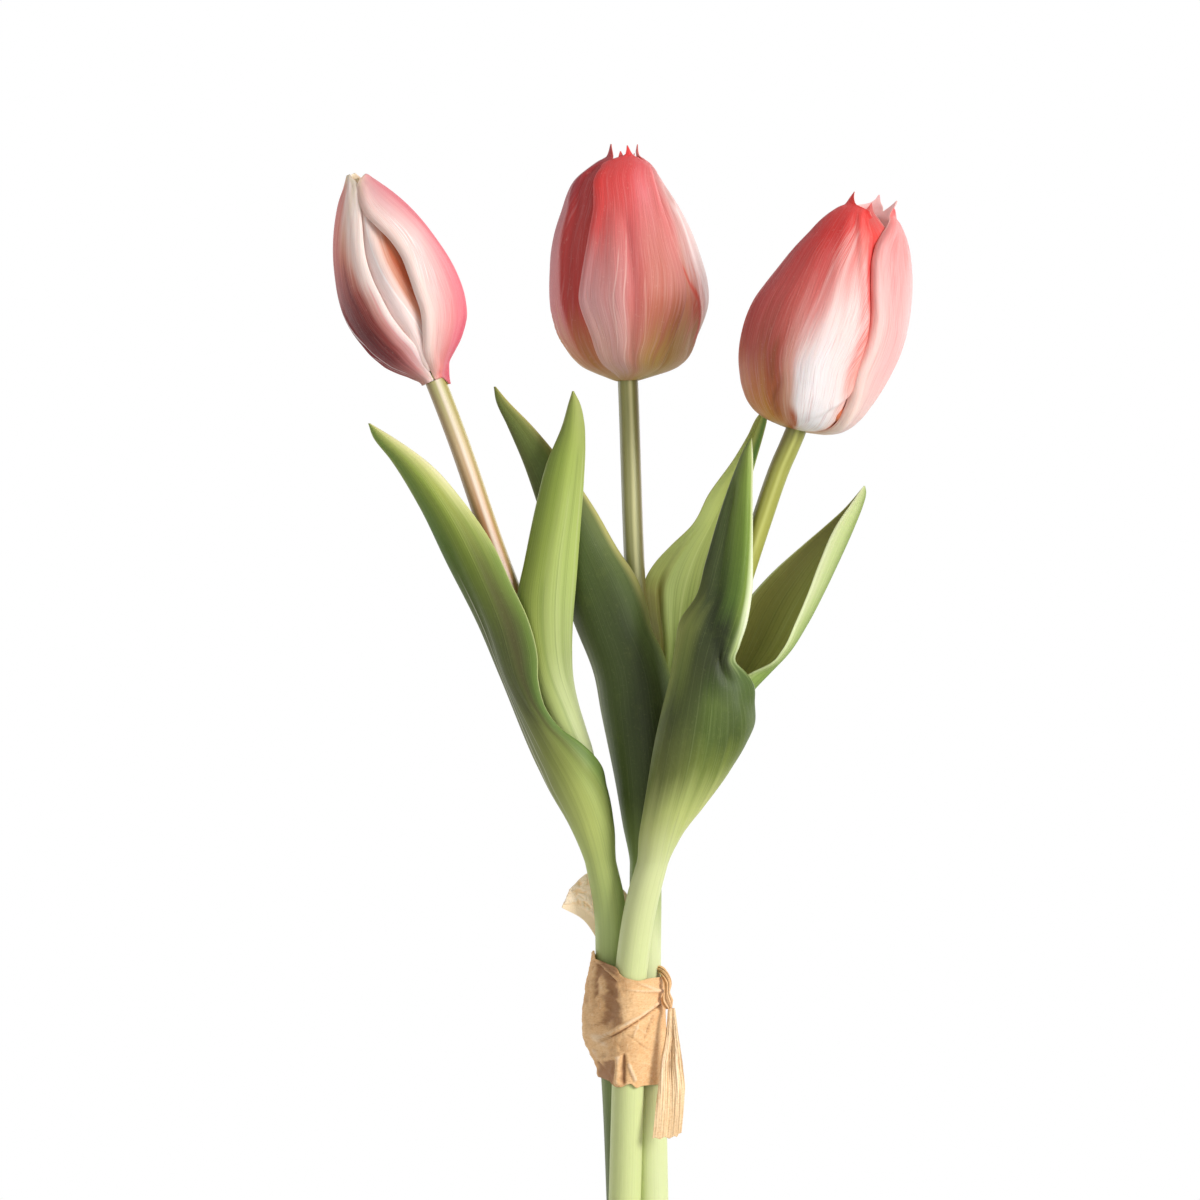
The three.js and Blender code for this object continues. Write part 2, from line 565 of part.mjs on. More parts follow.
// The front tail hangs from the knot, pleated along its length: rows of share of it, left edge and right edge
function frontTail() {
  const knot = knotCentre();
  const edges = through([[0, -0.9, 0.9], [0.15, -1.7, 1.6], [0.3, -2.2, 2.4], [0.45, -3.1, 3], [0.62, -3.8, 3.3],
    [0.8, -4.5, 3.1], [1, -5.3, 2.7]]);
  const surface = (u, v) => {
    const [left, right] = edges(v);
    const pleat = TAIL_PLEAT * Math.cos(3 * Math.PI * u) * Math.min(1, 0.3 + v);
    return new THREE.Vector3(
      knot.x + left + (right - left) * u,
      knot.y + pleat - TAIL_FORWARD * Math.sqrt(v),
      knot.z - TAIL_BELOW_KNOT - TAIL_LENGTH * v,
    );
  };
  return thicken(surface, TAIL_COLUMNS, evenly(TAIL_ROWS), () => PAPER_THICKNESS);
}

// The back tail stands on the loop's rim behind the sleeves and comes out past the left one
function backTail() {
  const lower = through([[0, -3.4, 0], [0.45, -5, 6], [0.75, -9.6, 13], [1, -15.4, 16.4]]);
  const upper = through([[0, 5, 0], [0.45, 4.6, 11], [0.75, 0, 22], [1, -13.6, 21.2]]);
  const surface = (u, v) => {
    const [lowerX, lowerRise] = lower(v);
    const [upperX, upperRise] = upper(v);
    const x = lowerX + (upperX - lowerX) * u;
    const rise = lowerRise + (upperRise - lowerRise) * u;
    const foot = roundSleeves(BAND_TOP, BACK_AZIMUTH);
    const y = foot[1] + (x - foot[0]) * BACK_SLOPE - rise * BACK_LEAN;
    return new THREE.Vector3(x, y, BAND_TOP + CLEARANCE + rise);
  };
  return thicken(surface, 4, evenly(TAIL_ROWS), () => PAPER_THICKNESS);
}

const group = new THREE.Group();
group.name = 'tulip_bundle';

function addPiece(name, geometry, colour, roughness = 0.6, metalness = 0) {
  const piece = new THREE.Mesh(geometry, new THREE.MeshStandardMaterial({ color: colour, roughness, metalness }));
  geometry.computeVertexNormals();
  piece.name = name;
  group.add(piece);
}

for (const [side, tulip] of Object.entries(TULIPS)) {
  const [top, x, y] = tulip.axis[tulip.axis.length - 1];
  const beyond = (rise) => [top + rise, x + rise * Math.tan(radians(tulip.lean)), y];
  tulip.top = top;
  tulip.curve = through([...tulip.axis, beyond(2), beyond(FLUSH_LENGTH)]);
  addPiece(`${side}_flower_stem`, flowerStem(tulip), COLOURS.stem);
  addPiece(`${side}_stem_wire`, stemWire(tulip), COLOURS.wire, 0.35, 1);
  addPiece(`${side}_outer_leaf`, outerLeaf(tulip, LEAVES[side].outer), COLOURS.outerLeaf);
  addPiece(`${side}_inner_leaf`, innerLeaf(tulip, LEAVES[side].inner), COLOURS.innerLeaf);
  addPiece(`${side}_receptacle`, receptacle(tulip), COLOURS.receptacle);
  for (const [place, spread] of Object.entries(tulip.outerPetals)) {
    const geometry = petal(tulip, outerProfile(tulip), spread, 6, evenly(10), OUTER_PETAL_THICKNESS);
    addPiece(`${side}_outer_petal_${place}`, geometry, COLOURS.petal);
  }
  for (const [place, spread] of Object.entries(tulip.innerPetals)) {
    const geometry = petal(tulip, innerProfile(tulip), spread, 5, evenly(8), INNER_PETAL_THICKNESS);
    addPiece(`${side}_inner_petal_${place}`, geometry, COLOURS.petalInside);
  }
}
addPiece('tie_band', tieBand(), COLOURS.paper, 0.9);
addPiece('tie_knot', tieKnot(), COLOURS.paper, 0.9);
addPiece('tie_front_tail', frontTail(), COLOURS.paper, 0.9);
addPiece('tie_back_tail', backTail(), COLOURS.paper, 0.9);

export default group;
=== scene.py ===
"""Looks of the artificial tulip bundle: its leaves, flower heads, stems and paper tie, and the studio."""

import math

import bpy
import numpy as np
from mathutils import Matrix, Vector, noise


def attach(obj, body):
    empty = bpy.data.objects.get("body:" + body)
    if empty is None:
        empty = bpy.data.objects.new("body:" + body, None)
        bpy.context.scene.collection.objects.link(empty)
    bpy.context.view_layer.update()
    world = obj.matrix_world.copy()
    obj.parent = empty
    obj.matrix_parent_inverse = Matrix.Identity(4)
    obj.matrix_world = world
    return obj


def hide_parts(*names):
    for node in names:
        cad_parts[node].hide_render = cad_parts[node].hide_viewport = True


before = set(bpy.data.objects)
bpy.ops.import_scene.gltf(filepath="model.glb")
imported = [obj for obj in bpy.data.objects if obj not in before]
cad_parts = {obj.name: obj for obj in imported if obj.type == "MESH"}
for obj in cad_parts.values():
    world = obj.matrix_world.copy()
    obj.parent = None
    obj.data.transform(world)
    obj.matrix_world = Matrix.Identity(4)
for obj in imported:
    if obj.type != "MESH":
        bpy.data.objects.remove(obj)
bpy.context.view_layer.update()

MM = 0.001
# The attribute that marks each point of a mesh
MARK = "inner_face"

# Sizes of the pieces, in millimetres. Bores are radii
STEM_RADIUS = 2.75
STEM_BORE = 1.15
STEM_PLUG = 4
SLEEVE_BORE = 3.1
SLEEVE_RADIUS = 4.3
SLEEVE_TOP = 150
COLLAR_BOTTOM = 160
COLLAR_RADIUS = 3.8
SLIT_HALF_GAP = 0.25
FLUSH_LENGTH = 20
LEAF_THICKNESS = 0.9
LEAF_ROUNDING = 1.4
TIP_LENGTH = 4
TIP_THICKNESS = 0.12
MARGIN_THICKNESS = 0.22
OUTER_PETAL_THICKNESS = 0.9
INNER_PETAL_THICKNESS = 0.7
PETAL_ROUNDING = 1.1
PAPER_THICKNESS = 0.3

# How finely the pieces are divided, and how much closer the points are at a leaf's or petal's edges
LEAF_ACROSS = 56
LEAF_ALONG = 190
LEAF_CROWDING = 0.72
SLEEVE_ALONG = 60
PETAL_ACROSS = 80
PETAL_ALONG = 120
PETAL_CROWDING = 0.6
STEM_SIDES = 40

# Centre lines of the stems as rows of height, x and y, and the head on each one. A head leans by degrees from
# upright. Its profile is rows of height and radius in its own frame, and its shift is rows of height and how far
# the head sits to the right of its axis there. The inner petals stay inside the profile by rows of height and
# gap, and end lower than it by the drop.
TULIPS = {
    "left": {
        "axis": [[0, 2.5, 9.5], [60, .9, 8.9], [89, -.3, 9.4], [104, -1.3, 8.6], [120, -1.9, 7.6], [140, -2.8, 6],
                 [150, -4.9, 5], [180, -12.3, 4.8], [233, -32.8, 4.4], [265, -43.8, 4.1], [279, -49.2, 4]],
        "lean": -22.1,
        "profile": [[.1, 2.95], [.9, 3.1], [1.6, 3.5], [2.4, 4.3], [4, 5.9], [6, 8.2], [8, 10.3], [10, 11.8],
                    [13, 13.6], [16, 14.6], [20, 15.5], [25, 15.8], [30, 15.3], [35, 14.2], [40, 12.8], [45, 10.9],
                    [50, 8.4], [54, 6], [57, 3.6], [59.6, 1.9]],
        "shift": [[0, -.4], [5, -.3], [13, .4], [25, 0], [60, .5]],
        "inner_gap": [[0, 0], [8, 1.15], [50, 1.1], [60, .7]],
        "inner_drop": 1.7,
    },
    "centre": {
        "axis": [[0, 10.7, 3.5], [60, 8.9, 5], [89, 8.3, 6.5], [120, 7, 9.9], [140, 7.1, 8.5], [150, 7.1, 8.7],
                 [194, 6.1, 10.6], [231, 4.1, 12.1], [280, 2.4, 14]],
        "lean": -2.4,
        "profile": [[-.3, 3.05], [.2, 4.6], [1, 7], [2, 9.9], [3, 12], [4, 13.5], [6, 15.3], [8, 16.5], [10, 17.5],
                    [13, 18.9], [16, 20], [20, 20.9], [25, 20.9], [30, 20.2], [35, 19.2], [40, 17.7], [45, 15.6],
                    [50, 13.2], [54, 10.8], [56.5, 8.4], [58.5, 5.8], [59.6, 4.3], [62.4, 3.6]],
        "shift": [[0, .2], [2, 1.6], [4, 1.5], [8, 1], [20, 1.3], [25, 1.2], [35, .4], [45, -.2], [54, -.6],
                  [57, .2], [62, .3]],
        "inner_gap": [[0, 0], [8, 1.8], [50, 1.7], [62, .8]],
        "inner_drop": .9,
    },
    "right": {
        "axis": [[0, 0, 0], [60, 1.5, 0], [89, 2.3, 0], [120, 3.1, 0], [140, 6.1, -1.5], [150, 8.8, -3],
                 [178, 17.6, -5.9], [200, 24.6, -8.2], [241, 37.6, -12.5], [255, 42.4, -14], [266, 47, -15]],
        "lean": 15.2,
        "profile": [[-.3, 3.05], [0, 5.4], [.5, 8.4], [1.1, 10.3], [2, 12.1], [3, 13.4], [4, 14.4], [6, 15.8],
                    [8, 16.9], [10, 17.7], [13, 18.8], [16, 19.6], [20, 20.3], [25, 20.7], [30, 20.4], [35, 19.3],
                    [40, 17.9], [45, 16.3], [50, 14.1], [54, 12.2], [57, 10.3], [59.2, 8.4], [60, 7.4], [62.6, 6.9],
                    [65.7, 6.6]],
        "shift": [[0, -.7], [16, -.6], [20, -.3], [25, .2], [30, .8], [35, 1.6], [40, 2.3], [45, 2.8], [50, 3.3],
                  [57, 3.5], [62, 3.6]],
        "inner_gap": [[0, 0], [8, 1.9], [50, 1.8], [62, .9]],
        "inner_drop": .6,
    },
}

# Blades as rows of height, x and y of the left margin, rib and right margin, and the bulge of the two arcs
# between them. The slit is the azimuth, in plan, where the margins meet at the foot, and the turn is the way in
# which the arcs bulge. A fold is rows of height and place across, a width as a share across, and a depth.
LEAVES = {
    ("left", "outer"): {
        "slit": 90,
        "turn": 1,
        "left": [[160, -9.5, 9.5], [170, -16, 9.6], [180, -22, 9], [200, -31.4, 6.5], [215, -38.2, 4.5],
                 [230, -45.9, 2.5], [246, -53.7, 1], [258, -61.1, -.5], [264, -65.7, -1.5], [267.4, -66.9, -2]],
        "rib": [[160, -7.6, -.7], [170, -11.5, -3], [180, -17, -3.6], [200, -28.6, -1], [215, -33.5, -2],
                [230, -40, -3], [246, -48.5, -3.5], [258, -57.2, -3.2], [264, -63.4, -2.7], [267.4, -66.7, -2.2]],
        "right": [[160, -4.5, 9], [170, -4, 6.6], [176, -4.8, 1.5], [182, -10, -2], [186, -15.5, -3],
                  [190, -18.7, -3.4], [198, -21.4, -3.2], [206, -21.8, -3], [215, -24.2, -3], [225, -28.9, -3],
                  [235, -33.6, -3], [246, -41.1, -2.5], [258, -52.2, -2.2], [264, -60.8, -2.2], [267.4, -66.4, -2]],
        "bulge": [[160, .83, .84], [170, .7, .55], [176, .6, .4], [182, .5, .25], [200, .3, .12], [267.4, .15, .1]],
        "folds": [([[170, .3], [200, .26], [240, .3]], .09, -.4), ([[185, .62], [215, .6], [255, .55]], .07, .35)],
    },
    ("left", "inner"): {
        "slit": 125,
        "turn": 1,
        "left": [[170, -13.4, 6.2], [180, -16.2, 3], [190, -19.5, .4], [200, -23.3, .4], [215, -27.2, .6],
                 [221, -27.2, .6], [230, -25.4, .3], [245, -22.3, -.2], [257, -19.2, -1], [267, -15.1, -2],
                 [273, -13.4, -2.6], [276, -12.5, -2.8]],
        "rib": [[170, -6.6, 2], [180, -9.2, .8], [190, -13.5, -.4], [200, -17.3, -1.2], [215, -19, -2.6],
                [230, -18, -3], [245, -15.5, -3.2], [257, -13.6, -3.4], [267, -12.2, -3.4], [273, -12, -3.2],
                [276, -12.3, -3]],
        "right": [[170, -8.4, 8.5], [180, -8, 7], [186, -9.5, 6], [192, -11.2, 5.5], [199, -12.5, 5],
                  [207, -12.8, 4], [215, -12.5, 3.2], [225, -11.6, 2.6], [239, -10.5, 1.6], [254, -9.4, .6],
                  [262, -9.1, -.2], [268, -9.4, -1.2], [273, -10.6, -2], [276, -12.1, -2.6]],
        "bulge": [[170, .82, .56], [180, .47, .36], [190, .35, .35], [200, .25, .35], [276, .15, .15]],
    },
    ("centre", "outer"): {
        "slit": 85,
        "turn": 1,
        "left": [[160, 3.6, 13.4], [170, .8, 12.6], [180, -2, 11.3], [190, -4.3, 11], [200, -6.3, 10.5],
                 [215, -12.3, 9.3], [230, -17, 8], [245, -21.5, 6.5], [258, -26, 5.3], [267, -29.9, 4.6],
                 [274, -33, 4.1], [277.4, -33.5, 4]],
        "rib": [[160, 7, 3.2], [170, 6.6, 1.5], [180, 5.6, 1], [190, 4.6, 1], [200, 3.4, 1.3], [215, -1.8, 2.3],
                [230, -8, 3.2], [245, -14.3, 3.4], [258, -20.8, 3.6], [267, -26.6, 3.8], [274, -31.9, 3.8],
                [277.4, -33.3, 3.8]],
        "right": [[160, 12, 11.5], [170, 15, 9.5], [180, 16.2, 8], [190, 15.6, 7], [200, 13.6, 6.6],
                  [206, 11.8, 6.5], [212, 8.9, 6.5], [219, 7.4, 6.6], [226, 4.8, 6.6], [234, -.4, 6.5],
                  [245, -6.7, 6], [258, -15.8, 5], [267, -23.4, 4.4], [274, -30.2, 4], [277.4, -33, 3.8]],
        "bulge": [[160, .7, .6], [170, .57, .48], [180, .48, .45], [200, .42, .33], [215, .3, .25],
                  [277.4, .15, .15]],
    },
    ("centre", "inner"): {
        "slit": 225,
        "turn": -1,
        "left": [[165, 2.6, 8.8], [170, 3, 11.2], [185, 5.6, 14.6], [200, 8.6, 14.4], [210, 8.9, 14.1],
                 [218, 7.2, 14], [225, 6.8, 13.9], [230, 9.5, 13.2], [235, 14.1, 12.2], [240, 19.3, 10.8],
                 [249, 24.3, 8.4], [258, 30.8, 6], [264, 34.4, 4.6], [270, 37.6, 3.2], [272, 39.4, 2.8]],
        "rib": [[170, 10.6, 13.4], [185, 15, 16], [200, 17, 16.8], [215, 17.5, 16.8], [230, 20.5, 15],
                [245, 27, 11.8], [258, 33.3, 8.4], [264, 35.9, 6.4], [270, 38.4, 4.4], [272, 39.6, 3.4]],
        "right": [[165, 8, 5], [170, 10.4, 6.5], [180, 13.2, 8.8], [190, 17.5, 10.4], [200, 22, 10.6],
                  [215, 25.5, 10.4], [230, 28, 9.6], [245, 32.4, 7.6], [254, 35.6, 5.8], [259, 37, 4.9],
                  [264, 38.4, 3.8], [268, 39.4, 3.1], [272, 40, 2.7]],
        "bulge": [[170, .6, .55], [185, .3, .3], [200, .25, .2], [272, .15, .15]],
        "folds": [([[184, .27], [214, .27], [232, .22], [242, .12]], .04, .7),
                  ([[184, .2], [214, .2], [232, .15]], .04, -.5)],
    },
    ("right", "outer"): {
        "slit": 180,
        "turn": 1,
        "left": [[157, 5.4, -5], [165, 6.7, -6.5], [175, 8.3, -7.5], [182, 9.5, -7.6], [190, 11.2, -7.8],
                 [200, 13.6, -8.2], [208, 14.9, -8.8], [215, 16.2, -9.8], [221, 20.2, -11.2], [230, 22.8, -12.2],
                 [245, 27.2, -14], [255, 30.8, -15.6], [260, 32.9, -17], [263, 34.6, -17.9]],
        "rib": [[157, 15.4, -6.2], [165, 18.9, -10.6], [175, 22.8, -14.4], [182, 24.6, -16], [190, 25.6, -16.4],
                [200, 26.2, -16.2], [208, 27.6, -16.4], [215, 29.6, -17], [221, 31.2, -17.3], [230, 32.6, -17.6],
                [245, 33.6, -18], [255, 33.9, -18.3], [260, 34.2, -18.3], [263, 34.8, -18.3]],
        "right": [[157, 8, .6], [165, 16.4, 2.4], [175, 26.2, 1.5], [182, 32.6, -2], [187, 35.6, -5],
                  [193, 35.9, -8.2], [198, 35.6, -10.3], [201, 33.6, -12.2], [204, 30.8, -14.5], [208, 31.8, -14.6],
                  [213, 33.5, -14.8], [221, 35, -15.2], [235, 35.3, -16], [250, 35.2, -16.8], [258, 35.3, -17.4],
                  [263, 35, -18]],
        "bulge": [[157, .73, .73], [165, .59, .62], [175, .5, .55], [182, .45, .47], [193, .35, .3], [204, .25, .1],
                  [263, .12, .1]],
        "folds": [
            ([[196, .66], [202, .55], [208, .42], [214, .32], [222, .25], [236, .2], [254, .18]], .085, -1.05),
            ([[204, .8], [214, .66], [226, .55], [250, .5]], .1, .5),
            ([[176, .7], [186, .72], [198, .7]], .09, .6)],
    },
    ("right", "inner"): {
        "slit": 180,
        "turn": 1,
        "left": [[165, 10, -7.2], [170, 12.6, -9.2], [180, 18.4, -10.4], [190, 24, -11], [197, 30, -10],
                 [199, 32.2, -8.8], [200.5, 34.2, -8.2], [203.5, 40.2, -10.4], [207, 43.2, -11.8], [214, 46.6, -12],
                 [222, 50, -11.6], [230, 53, -11.4], [240, 57.5, -11.2], [246, 61.6, -11], [250.6, 64.9, -10.8]],
        "rib": [[170, 20.5, -4.6], [180, 26, -5], [190, 31.5, -5.6], [197, 36, -6.4], [201, 39.8, -7],
                [206, 44.6, -7.6], [214, 49.8, -8.2], [222, 54, -8.6], [230, 57.8, -9], [240, 62.2, -9.6],
                [246, 64.5, -10], [249, 65.3, -10.2], [250.6, 65.2, -10.4]],
        "right": [[165, 10, -1.9], [170, 12.6, -.9], [180, 18.5, .6], [190, 23, 1.6], [200, 26.5, 2.4],
                  [210, 29.5, 2.4], [220, 34.2, 1.2], [227, 40.2, -.6], [235, 49, -3.4], [240, 54.8, -5.4],
                  [245, 60.2, -8], [248, 62.8, -9.4], [250.6, 64.9, -10.2]],
        "bulge": [[170, .59, .53], [180, .35, .3], [200, .15, .2], [250.6, .1, .12]],
    },
}


# Shaders

def tone(red, green, blue):
    """A colour written as it looks on a screen, as the linear colour that a shader takes."""
    def linear(channel):
        share = channel / 255
        return share / 12.92 if share <= .04045 else ((share + .055) / 1.055) ** 2.4
    return linear(red), linear(green), linear(blue), 1.0


def operator(operation, swapped=False):
    """An operator of Value that adds a Math node."""
    def apply(value, other):
        pair = (other, value) if swapped else (value, other)
        return value.shade.math(operation, *pair)
    return apply


class Value:
    """A socket, with the arithmetic that is used on it."""

    def __init__(self, shade, socket):
        self.shade = shade
        self.socket = socket

    __add__ = __radd__ = operator("ADD")
    __mul__ = __rmul__ = operator("MULTIPLY")
    __sub__ = operator("SUBTRACT")
    __rsub__ = operator("SUBTRACT", swapped=True)
    __truediv__ = operator("DIVIDE")

    def __abs__(self):
        return self.shade.math("ABSOLUTE", self)


class Shade:
    """A node tree: a new material's, or one that is handed in."""

    def __init__(self, name, tree=None):
        if tree is None:
            self.material = bpy.data.materials.new(name)
            self.material.use_nodes = True
            tree = self.material.node_tree
        self.tree = tree
        self.tree.nodes.clear()

    def node(self, kind, settings=None, sockets=None, output=0):
        """Adds a node. Its settings come first, then the values or links of its sockets."""
        node = self.tree.nodes.new(kind)
        for name, value in (settings or {}).items():
            if name == "stops":
                self.set_stops(node.color_ramp, value)
            else:
                setattr(node, name, value)
        for name, value in (sockets or {}).items():
            if isinstance(value, Value):
                self.tree.links.new(value.socket, node.inputs[name])
            else:
                node.inputs[name].default_value = value
        return Value(self, node.outputs[output]) if len(node.outputs) else None

    @staticmethod
    def set_stops(ramp, stops):
        while len(ramp.elements) < len(stops):
            ramp.elements.new(.5)
        for element, (position, colour) in zip(ramp.elements, stops):
            element.position = position
            element.color = colour

    def math(self, operation, *values):
        return self.node("ShaderNodeMath", {"operation": operation}, dict(enumerate(values)))

    def smooth(self, value, low, high):
        """0 below low, 1 above high and smooth between; low may be the larger."""
        flip = low > high
        ends = (high, low) if flip else (low, high)
        step = self.node("ShaderNodeMapRange", {"interpolation_type": "SMOOTHSTEP"},
                         {0: value, 1: ends[0], 2: ends[1]})
        return 1 - step if flip else step

    def bump_at(self, value, centre, width):
        """1 at the centre and smoothly 0 a width away from it."""
        return self.smooth(abs(value - centre), width, 0)

    def vector(self, x, y, z):
        return self.node("ShaderNodeCombineXYZ", sockets={0: x, 1: y, 2: z})

    def noise(self, place, scale, detail, roughness):
        return self.node("ShaderNodeTexNoise", sockets={
            "Vector": place, "Scale": scale, "Detail": detail, "Roughness": roughness})

    def ramp(self, value, stops):
        return self.node("ShaderNodeValToRGB", {"stops": stops}, {0: value})

    def tints(self, value, rows):
        """A ramp of rows of a value and the red, green and blue that it has there."""
        return self.ramp(value, [(place, tone(*colour)) for place, *colour in rows])

    def mix(self, factor, first, second):
        return self.node("ShaderNodeMix", {"data_type": "RGBA"}, {0: factor, 6: first, 7: second}, output=2)

    def blended(self, across, along, columns):
        """Colours along a piece at a few places across it, blended between them: each place and its rows."""
        colour = self.tints(along, columns[0][1:])
        for (before, *_), (after, *rows) in zip(columns, columns[1:]):
            colour = self.mix(self.smooth(across, before, after), colour, self.tints(along, rows))
        return colour

    def strokes(self, colour, across, along, wander, lines):
        """Draws soft lines: rows of the place along a piece and across it, a width, a tint and a strength."""
        for rows, width, tint, strength in lines:
            aim = self.ramp(along, [(v, (u, u, u, 1.0)) for v, u in rows])
            near = self.bump_at(across + wander * width, aim, width)
            first, last = rows[0][0], rows[-1][0]
            ends = self.smooth(along, first, first + .06) * self.smooth(along, last, last - .06)
            colour = self.mix(near * ends * strength, colour, tone(*tint))
        return colour

    def uv(self):
        """The place across a piece and along it, from its own map."""
        place = self.node("ShaderNodeUVMap", {"uv_map": "Lengthwise"})
        parts = self.node("ShaderNodeSeparateXYZ", sockets={0: place}).socket.node
        return Value(self, parts.outputs[0]), Value(self, parts.outputs[1])

    def place(self):
        """Object coordinates, and x, y and z of them in millimetres."""
        place = self.node("ShaderNodeTexCoord", output=3)
        parts = self.node("ShaderNodeSeparateXYZ", sockets={0: place}).socket.node
        return place, [Value(self, parts.outputs[i]) * 1000 for i in range(3)]

    def mark(self):
        """How far a point is on the inner skin, or, on the paper, how much painted shade it has, from 0 to 1."""
        return self.node("ShaderNodeAttribute", {"attribute_name": MARK}, output=2)

    def bump(self, height, strength, distance):
        return self.node("ShaderNodeBump", sockets={"Strength": strength, "Distance": distance, "Height": height})

    def surface(self, colour, roughness, normal=None, **constants):
        sockets = {"Base Color": colour, "Roughness": roughness}
        if normal is not None:
            sockets["Normal"] = normal
        sockets.update({name.replace("_", " "): value for name, value in constants.items()})
        shader = self.node("ShaderNodeBsdfPrincipled", sockets=sockets)
        self.node("ShaderNodeOutputMaterial", sockets={0: shader})
        return self.material


# Curves and sheets

def through(rows):
    """A smooth curve through rows of parameter and values, as a function of an array of parameters."""
    knots = np.array(rows, float)
    at, values = knots[:, 0], knots[:, 1:]
    step = np.diff(at)[:, None]
    rise = np.diff(values, axis=0) / step
    inner = (rise[:-1] * step[1:] + rise[1:] * step[:-1]) / (step[1:] + step[:-1])
    slope = np.vstack([rise[:1], inner, rise[-1:]])

    def curve(parameters):
        t = np.atleast_1d(np.asarray(parameters, float))
        i = np.clip(np.searchsorted(at, t, side="right") - 1, 0, len(at) - 2)
        s = ((t - at[i])[:, None]) / step[i]
        ends = values[i] * (1 + 2 * s) * (1 - s) ** 2 + values[i + 1] * (3 - 2 * s) * s * s
        return ends + step[i] * (slope[i] * s * (1 - s) ** 2 - slope[i + 1] * s * s * (1 - s))
    return curve


def eased(value, low, high):
    """0 at low, 1 at high and smooth between."""
    share = np.clip((value - low) / (high - low), 0, 1)
    return share * share * (3 - 2 * share)


def bell(value, centre, width):
    return np.exp(-((value - centre) / width) ** 2)


def arc_points(p, q, bulge, t):
    """Points on the arcs from p to q, a row of each. The bulge is the tangent of a quarter of the arc's angle."""
    half = 2 * np.arctan(bulge)[:, None]
    half = np.where(abs(half) < 1e-6, 1e-6, half)
    turn = half * (1 - t)
    reach = np.sin(half * t) / np.sin(half)
    across = (q - p)[:, None, :]
    x = reach * (across[..., 0] * np.cos(turn) + across[..., 1] * np.sin(turn))
    y = reach * (across[..., 1] * np.cos(turn) - across[..., 0] * np.sin(turn))
    return p[:, None, :] + np.stack([x, y], -1)


def unit(vectors):
    return vectors / np.maximum(np.linalg.norm(vectors, axis=-1, keepdims=True), 1e-12)


def grid(rows, columns):
    """Shares along and across a sheet."""
    return np.linspace(0, 1, rows), np.linspace(0, 1, columns)


def sheet_normals(middle, closed):
    """Unit normals of a grid of points; the first rows close on themselves where closed says so."""
    across = np.gradient(middle, axis=1)
    along = np.gradient(middle, axis=0)
    ring = np.asarray(closed)
    seam = middle[ring, 1] - middle[ring, -2]
    across[ring, 0] = seam
    across[ring, -1] = seam
    return unit(np.cross(across, along))


def pushed(middle, push):
    """Moves a grid of points along its own normals, by millimetres."""
    return middle + sheet_normals(middle, np.zeros(len(middle), bool)) * push[..., None]


def ring_directions(angles, side, depth):
    """Unit directions round a line at some angles: a ring for each pair of side and depth directions."""
    return np.cos(angles)[None, :, None] * side[:, None] + np.sin(angles)[None, :, None] * depth[:, None]


def margin_share(middle, rounding):
    """How much of its thickness a sheet has near its two margins, which are rounded over a short width."""
    steps = np.linalg.norm(np.diff(middle, axis=1), axis=-1)
    run = np.concatenate([np.zeros((len(steps), 1)), np.cumsum(steps, axis=1)], axis=1)
    inward = np.minimum(run, run[:, -1:] - run)
    return np.sqrt(np.clip(1 - (1 - np.clip(inward / rounding, 0, 1)) ** 2, 0, 1))


def thickened(name, middle, thickness, shares, closed_rows=0, inner_first=False, painted_light_and_shade=None):
    """A closed mesh either side of a grid of points. Its first rows may be rings, and the rest have two margins.

    Its points are marked 0 on the outer skin and 1 on the inner one, and inner_first says that the first skin is
    the inner one. A sheet of paper is marked instead by its painted light and shade, the same on both skins: high
    values are painted shade and low ones a painted highlight.
    """
    rows, columns = middle.shape[:2]
    closed = np.arange(rows) < closed_rows
    offset = sheet_normals(middle, closed) * thickness[..., None] / 2
    skins = [middle + offset, middle - offset]
    count = rows * columns
    front = np.arange(count).reshape(rows, columns)
    back = front + count
    rim = max(closed_rows - 1, 0)
    quads = np.concatenate([
        np.stack([front[:-1, :-1], front[:-1, 1:], front[1:, 1:], front[1:, :-1]], -1).reshape(-1, 4),
        np.stack([back[:-1, :-1], back[1:, :-1], back[1:, 1:], back[:-1, 1:]], -1).reshape(-1, 4),
        np.stack([front[0, :-1], back[0, :-1], back[0, 1:], front[0, 1:]], -1),
        np.stack([front[-1, :-1], front[-1, 1:], back[-1, 1:], back[-1, :-1]], -1),
        np.stack([front[rim:-1, 0], front[rim + 1:, 0], back[rim + 1:, 0], back[rim:-1, 0]], -1),
        np.stack([front[rim:-1, -1], back[rim:-1, -1], back[rim + 1:, -1], front[rim + 1:, -1]], -1),
    ])
    joined = np.arange(2 * count)
    for skin in (front, back):
        joined[skin[closed, -1]] = skin[closed, 0]
    places = grid_places(shares, np.linspace(0, 1, rows))
    places = np.concatenate([places, places])[quads.ravel()]
    marks = np.repeat([1.0, 0.0] if inner_first else [0.0, 1.0], count)
    if painted_light_and_shade is not None:
        marks = np.concatenate([painted_light_and_shade.ravel(), painted_light_and_shade.ravel()])
    points = np.concatenate([skin.reshape(-1, 3) for skin in skins]) * MM
    used, faces = np.unique(joined[quads], return_inverse=True)
    return mesh_piece(name, points[used], faces.reshape(-1, 4), places, marks[used])


def grid_places(across, along):
    """The place across and along a piece of each point of a grid."""
    return np.stack(np.broadcast_arrays(across[None, :], along[:, None]), -1).reshape(-1, 2)


def mesh_piece(name, points, faces, places, marks):
    """An object of a mesh, with its own map and the mark of each point, which its material reads."""
    mesh = bpy.data.meshes.new(name)
    mesh.from_pydata(points.tolist(), [], [list(face) for face in faces])
    mesh.uv_layers.new(name="Lengthwise").data.foreach_set("uv", places.ravel())
    mesh.attributes.new(MARK, "FLOAT", "POINT").data.foreach_set("value", marks)
    mesh.shade_smooth()
    return linked(name, mesh)


